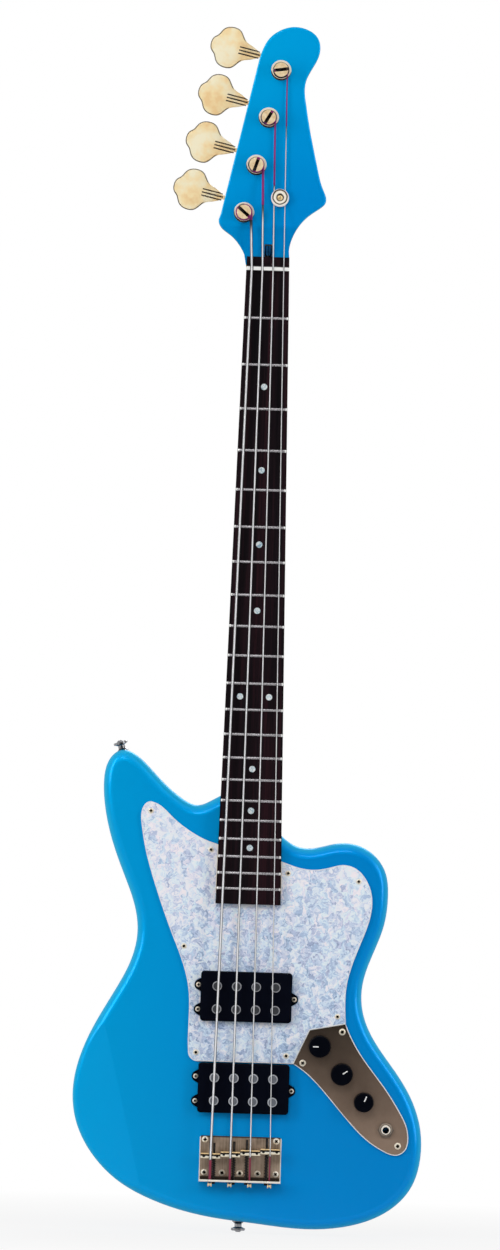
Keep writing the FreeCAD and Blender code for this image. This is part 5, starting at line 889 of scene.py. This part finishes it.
for number, name in enumerate(STRINGS):
    radius = STRING_DIAMETERS[number] / 2 * MM
    wire = TREBLE_WIRE if number > 2 else STRING_WIRE
    corners, circle = string_route(number)
    bends = []
    for before, corner, after in zip(corners, corners[1:], corners[2:]):
        bends.append(rounded_corner(before, corner, after, 0.0018, 6))
    silk_z = NUT_UP * MM - SILK_STARTS[number] * MM
    share = (silk_z - corners[-2].z) / (corners[-1].z - corners[-2].z)
    silk_start = corners[-2] + (corners[-1] - corners[-2]) * share
    lip_silk = corners[0] + (corners[1] - corners[0]) * 0.86
    plain = along_line(lip_silk, bends[0][0], 3)[:-1]
    for bend in bends:
        plain += bend
    plain += along_line(bends[-1][-1], silk_start, 3)[1:]
    post = "string_post_" + name
    core = tube(plain, radius, 14)
    piece("string_wire_" + name, core, wire, "instrument", "string_" + name)
    wrap = 0.00012
    lip = tube(along_line(corners[0], lip_silk, 6), radius + wrap * 1.6, 14)
    piece("bridge_silk_" + name, lip, RED_SILK, "instrument")
    lead = along_line(silk_start, corners[-1], 6)[:-1] + winding_points(number, circle, 0.0, 0.9)
    piece("head_silk_" + name, tube(lead, radius + wrap * 0.5, 14), PURPLE_SILK, "instrument")
    turns = winding_points(number, circle, 0.0, 2 * math.pi * WINDING_TURNS[number])
    piece("winding_" + name, tube(turns, radius + wrap * 0.4, 14), PURPLE_SILK, post)
    tail = turns[-1:] + string_tail(number, circle)
    piece("string_tail_" + name, tube(tail, radius, 14), SHADED_TAIL_WIRE, post)
    way = (corners[1] - corners[0]).normalized()
    section = ((0.7, -2.1), (1.9, -2.1), (2.2, -1.8), (2.2, -1.2), (1.2, -0.6), (1.2, 0.6), (2.2, 1.2),
               (2.2, 1.8), (1.9, 2.1), (0.7, 2.1))
    ball = spun(section, corners[0] - way * 2.2 * MM, Vector((1, 0, 0)))
    piece("ball_end_" + name, ball, POST_GOLD, "instrument")


# Springs behind the saddles


def intonation_axis(number):
    """The middle of an intonation screw at the lip, in metres."""
    x = string_share(number, SADDLE_SPREAD)
    top = 15.4 - crown_drop(x) + 0.9
    return at(x - math.copysign(3.4, x), LIP_DOWN, top - 10.0 + 3.4)


for number, name in enumerate(STRINGS):
    low = intonation_axis(number)
    length = LIP_DOWN - SCALE - SADDLE_SETBACKS[number] - 2.75 - 0.05
    points = []
    turns = 9.0
    steps = 240
    for step in range(steps + 1):
        share = step / steps
        angle = 2.0 * math.pi * turns * share
        rise = 0.3 + (length - 0.6) * share
        points.append(low + Vector((1.85 * math.cos(angle), 1.85 * math.sin(angle), rise)) * MM)
    spring = piece("spring_" + name, tube(points, 0.3 * MM, 8), SPRING_WIRE, None,
                   "intonation_spring_" + name)
    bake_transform(spring)


# Pointers on the knobs

for name, place, turn in KNOBS:
    tilt = math.radians(50.0)
    pitch = 34.8 * place
    foot = Vector((74.431 + pitch * math.cos(tilt), FACE_Y, 174.0 - pitch * math.sin(tilt))) * MM
    top = foot + FRONT * (2.0 + 0.8 + 15.0 - 0.24) * MM
    way = Vector((math.cos(math.radians(turn)), 0, math.sin(math.radians(turn))))
    aim = Matrix((way, FRONT.cross(way), FRONT)).transposed().to_4x4()
    pointer = bar(5.6, 1.16, 0.44, 0.12, Matrix.Translation(top + way * 1.1 * MM) @ aim)
    piece(name + "_pointer", pointer, WHITE, name)


# Bright edges: a painted highlight along the control plate and the white cut edge of the pickguard


def edge_bead(name, node, out, radius, material):
    """A thin rounded edge along the outline of a plate's front."""
    level = (FACE_Y - out) * MM
    loop = face_loops(node, level)[0]
    points = loop + [loop[0]]
    shift = Vector((0, radius * 0.45 * MM, 0))
    piece(name, tube([point + shift for point in points], radius * MM, 8), material, "instrument")


# Painted highlight: a white bead along the control plate's edge.
edge_bead("control_plate_edge_highlight", "control_plate", 2.0, 0.5, WHITE)
edge_bead("pickguard_edge", "pickguard", 2.5, 0.42, WHITE)


# Painted shade: dark crosses in the heads of the screws and dark linings in the slots of the posts


def drawn_out(profile, length, placement):
    """A bar along X with a section of (y, z) points in millimetres."""
    made = bmesh.new()
    ends = []
    for x in (0.0, length):
        ends.append([made.verts.new(placement @ (Vector((x, y, z)) * MM)) for y, z in profile])
    count = len(profile)
    for step in range(count):
        ahead = (step + 1) % count
        made.faces.new((ends[0][step], ends[0][ahead], ends[1][ahead], ends[1][step]))
    made.faces.new(list(reversed(ends[0])))
    made.faces.new(ends[1])
    bmesh.ops.recalc_face_normals(made, faces=made.faces)
    return made


def together(makers):
    """Several shapes as one."""
    whole = bmesh.new()
    for maker in makers:
        part = bpy.data.meshes.new("part")
        maker.to_mesh(part)
        maker.free()
        whole.from_mesh(part)
        bpy.data.meshes.remove(part)
    return whole


def screw_heads(node):
    """The front middle and the radius of each screw in a node whose screws stand along Y."""
    groups = []
    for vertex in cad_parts[node].data.vertices:
        spot = vertex.co
        near = [group for group in groups if math.hypot(group[0].x - spot.x, group[0].z - spot.z) < 0.009]
        if near:
            near[0].append(spot)
        else:
            groups.append([spot])
    found = []
    for group in groups:
        left = min(spot.x for spot in group)
        right = max(spot.x for spot in group)
        low = min(spot.z for spot in group)
        high = max(spot.z for spot in group)
        front = min(spot.y for spot in group)
        found.append((Vector(((left + right) / 2, front, (low + high) / 2)), (right - left) / 2))
    return found


def shade_crosses(node, body):
    """A dark cross of painted shade in the head of each screw of a node."""
    makers = []
    for number, (middle, radius) in enumerate(screw_heads(node)):
        arm = radius / MM * 0.52
        half = radius / MM * 0.23
        cross = ((arm, half), (half, half), (half, arm), (-half, arm), (-half, half), (-arm, half),
                 (-arm, -half), (-half, -half), (-half, -arm), (half, -arm), (half, -half), (arm, -half))
        spin = Matrix.Rotation(0.7 * number, 4, "Y")
        aim = Matrix(((0, 1, 0), (1, 0, 0), (0, 0, 1))).to_4x4()
        makers.append(drawn_out(cross, 0.6, Matrix.Translation(middle) @ spin @ aim))
    piece(node + "_recesses", together(makers), SHADE_BLACK, body)


for node, body in (("face_screws", "instrument"), ("bridge_screws", "instrument"),
                   ("neck_pickup_screws", "neck_pickup"), ("bridge_pickup_screws", "bridge_pickup")):
    shade_crosses(node, body)

# Painted shade: a dark lining in the slot of each post.
for number, name in enumerate(STRINGS):
    x, down = post_foot(number)
    outer, inner = 1.58, 1.46
    lining = ((-outer, 10.02), (outer, 10.02), (outer, 18.9), (inner, 18.9), (inner, 10.14), (-inner, 10.14),
              (-inner, 18.9), (-outer, 18.9))
    turn = math.radians(POST_SLOT_TURNS[number])
    way = Vector((math.cos(turn), 0, math.sin(turn)))
    aim = Matrix((way, FRONT.cross(way), FRONT)).transposed().to_4x4()
    start = at(x, down, HEAD_FACE) - way * 5.1 * MM
    piece("slot_lining_" + name, drawn_out(lining, 10.2, Matrix.Translation(start) @ aim), SHADE_BLACK,
          "string_post_" + name)


# Floor, light and camera

floor_maker = bmesh.new()
bmesh.ops.create_grid(floor_maker, x_segments=1, y_segments=1, size=30.0)
floor_mesh = bpy.data.meshes.new("studio_floor")
floor_maker.to_mesh(floor_mesh)
floor_maker.free()
floor = bpy.data.objects.new("studio_floor", floor_mesh)
floor.location = (0, 0, cad_box[0].z - 0.0005)
bpy.context.scene.collection.objects.link(floor)

paper = bpy.data.materials.new("studio_paper")
paper.use_nodes = True
sheet = Nodes(paper.node_tree)
matt = paper.node_tree.nodes["Principled BSDF"]
matt.inputs["Base Color"].default_value = (0.6, 0.6, 0.6, 1.0)
matt.inputs["Roughness"].default_value = 0.9
matt.inputs["Specular IOR Level"].default_value = 0.0
seen = sheet.add("ShaderNodeLightPath", None, None, "Is Camera Ray")
mirrored = sheet.add("ShaderNodeLightPath", None, None, "Is Glossy Ray")
through = sheet.add("ShaderNodeLightPath", None, None, "Is Transmission Ray")
glow = sheet.add("ShaderNodeEmission", None, {"Color": (1.0, 1.0, 1.0), "Strength": 1.0})
across, deep, tall = sheet.parts_of(sheet.places())
away = sheet.between(across * across + deep * deep, 0.02, 0.8)
ahead = sheet.between(0.0 - deep, 0.1, 0.9)
bright = seen + through + mirrored * (1.0 - ahead * 0.97)
mixed = sheet.add("ShaderNodeMixShader", None, {0: bright * (0.86 + away * 0.14)})
paper.node_tree.links.new(matt.outputs[0], mixed.socket.node.inputs[1])
paper.node_tree.links.new(glow.socket, mixed.socket.node.inputs[2])
paper.node_tree.links.new(mixed.socket, paper.node_tree.nodes["Material Output"].inputs["Surface"])
floor_mesh.materials.append(paper)

world = bpy.data.worlds.new("studio")
bpy.context.scene.world = world
world.use_nodes = True
sky = Nodes(world.node_tree)
view_ray = sky.add("ShaderNodeLightPath", None, None, "Is Camera Ray")
gloss_ray = sky.add("ShaderNodeLightPath", None, None, "Is Glossy Ray")
clear_ray = sky.add("ShaderNodeLightPath", None, None, "Is Transmission Ray")
way_x, way_y, way_z = sky.parts_of(sky.add("ShaderNodeTexCoord", None, None, "Generated"))
dim_front = sky.between(0.0 - way_y, 0.6, 0.95)
gloss_level = 1.0 - dim_front * 0.96
bare = view_ray + clear_ray
strength = bare + gloss_ray * gloss_level + (1.0 - bare - gloss_ray) * 0.36
background = world.node_tree.nodes["Background"]
background.inputs["Color"].default_value = (1.0, 1.0, 1.0, 1.0)
world.node_tree.links.new(strength.socket, background.inputs["Strength"])


def soft_box(name, place, target, width, height, power):
    """A large soft lamp aimed at a point."""
    lamp = bpy.data.lights.new(name, "AREA")
    lamp.shape = "RECTANGLE"
    lamp.size = width
    lamp.size_y = height
    lamp.energy = power
    thing = bpy.data.objects.new(name, lamp)
    thing.location = place
    thing.rotation_euler = (Vector(target) - Vector(place)).to_track_quat("-Z", "Y").to_euler()
    bpy.context.scene.collection.objects.link(thing)


soft_box("left_lamp", (-2.6, -2.2, 1.5), (0, 0, 0.55), 1.0, 2.2, 38.0)
soft_box("right_lamp", (2.6, -1.8, 1.1), (0, 0, 0.5), 0.8, 2.0, 25.0)
soft_box("front_lamp", (-0.5, -4.0, 2.6), (0, 0, 0.5), 2.0, 1.2, 38.0)
soft_box("back_lamp", (0.6, 2.8, 2.0), (0, 0, 0.6), 1.6, 1.6, 30.0)

camera_data = bpy.data.cameras.new("front_camera")
camera = bpy.data.objects.new("front_camera", camera_data)
bpy.context.scene.collection.objects.link(camera)
DISTANCE = 14.0
FRAME_TALL = 1250 * 0.978 * MM
camera_data.sensor_fit = "VERTICAL"
camera_data.sensor_height = 24.0
camera_data.lens = 24.0 * (DISTANCE - 0.03) / FRAME_TALL
camera_data.clip_end = 100.0
roll = math.radians(1.78)
right = Vector((math.cos(roll), 0, math.sin(roll)))
upward = Vector((-math.sin(roll), 0, math.cos(roll)))
turn = Matrix((right, upward, FRONT)).transposed().to_4x4()
camera.matrix_world = Matrix.Translation(Vector((-0.00657, -DISTANCE, 0.58407))) @ turn
bpy.context.scene.camera = camera

bpy.context.scene.view_settings.view_transform = "Standard"
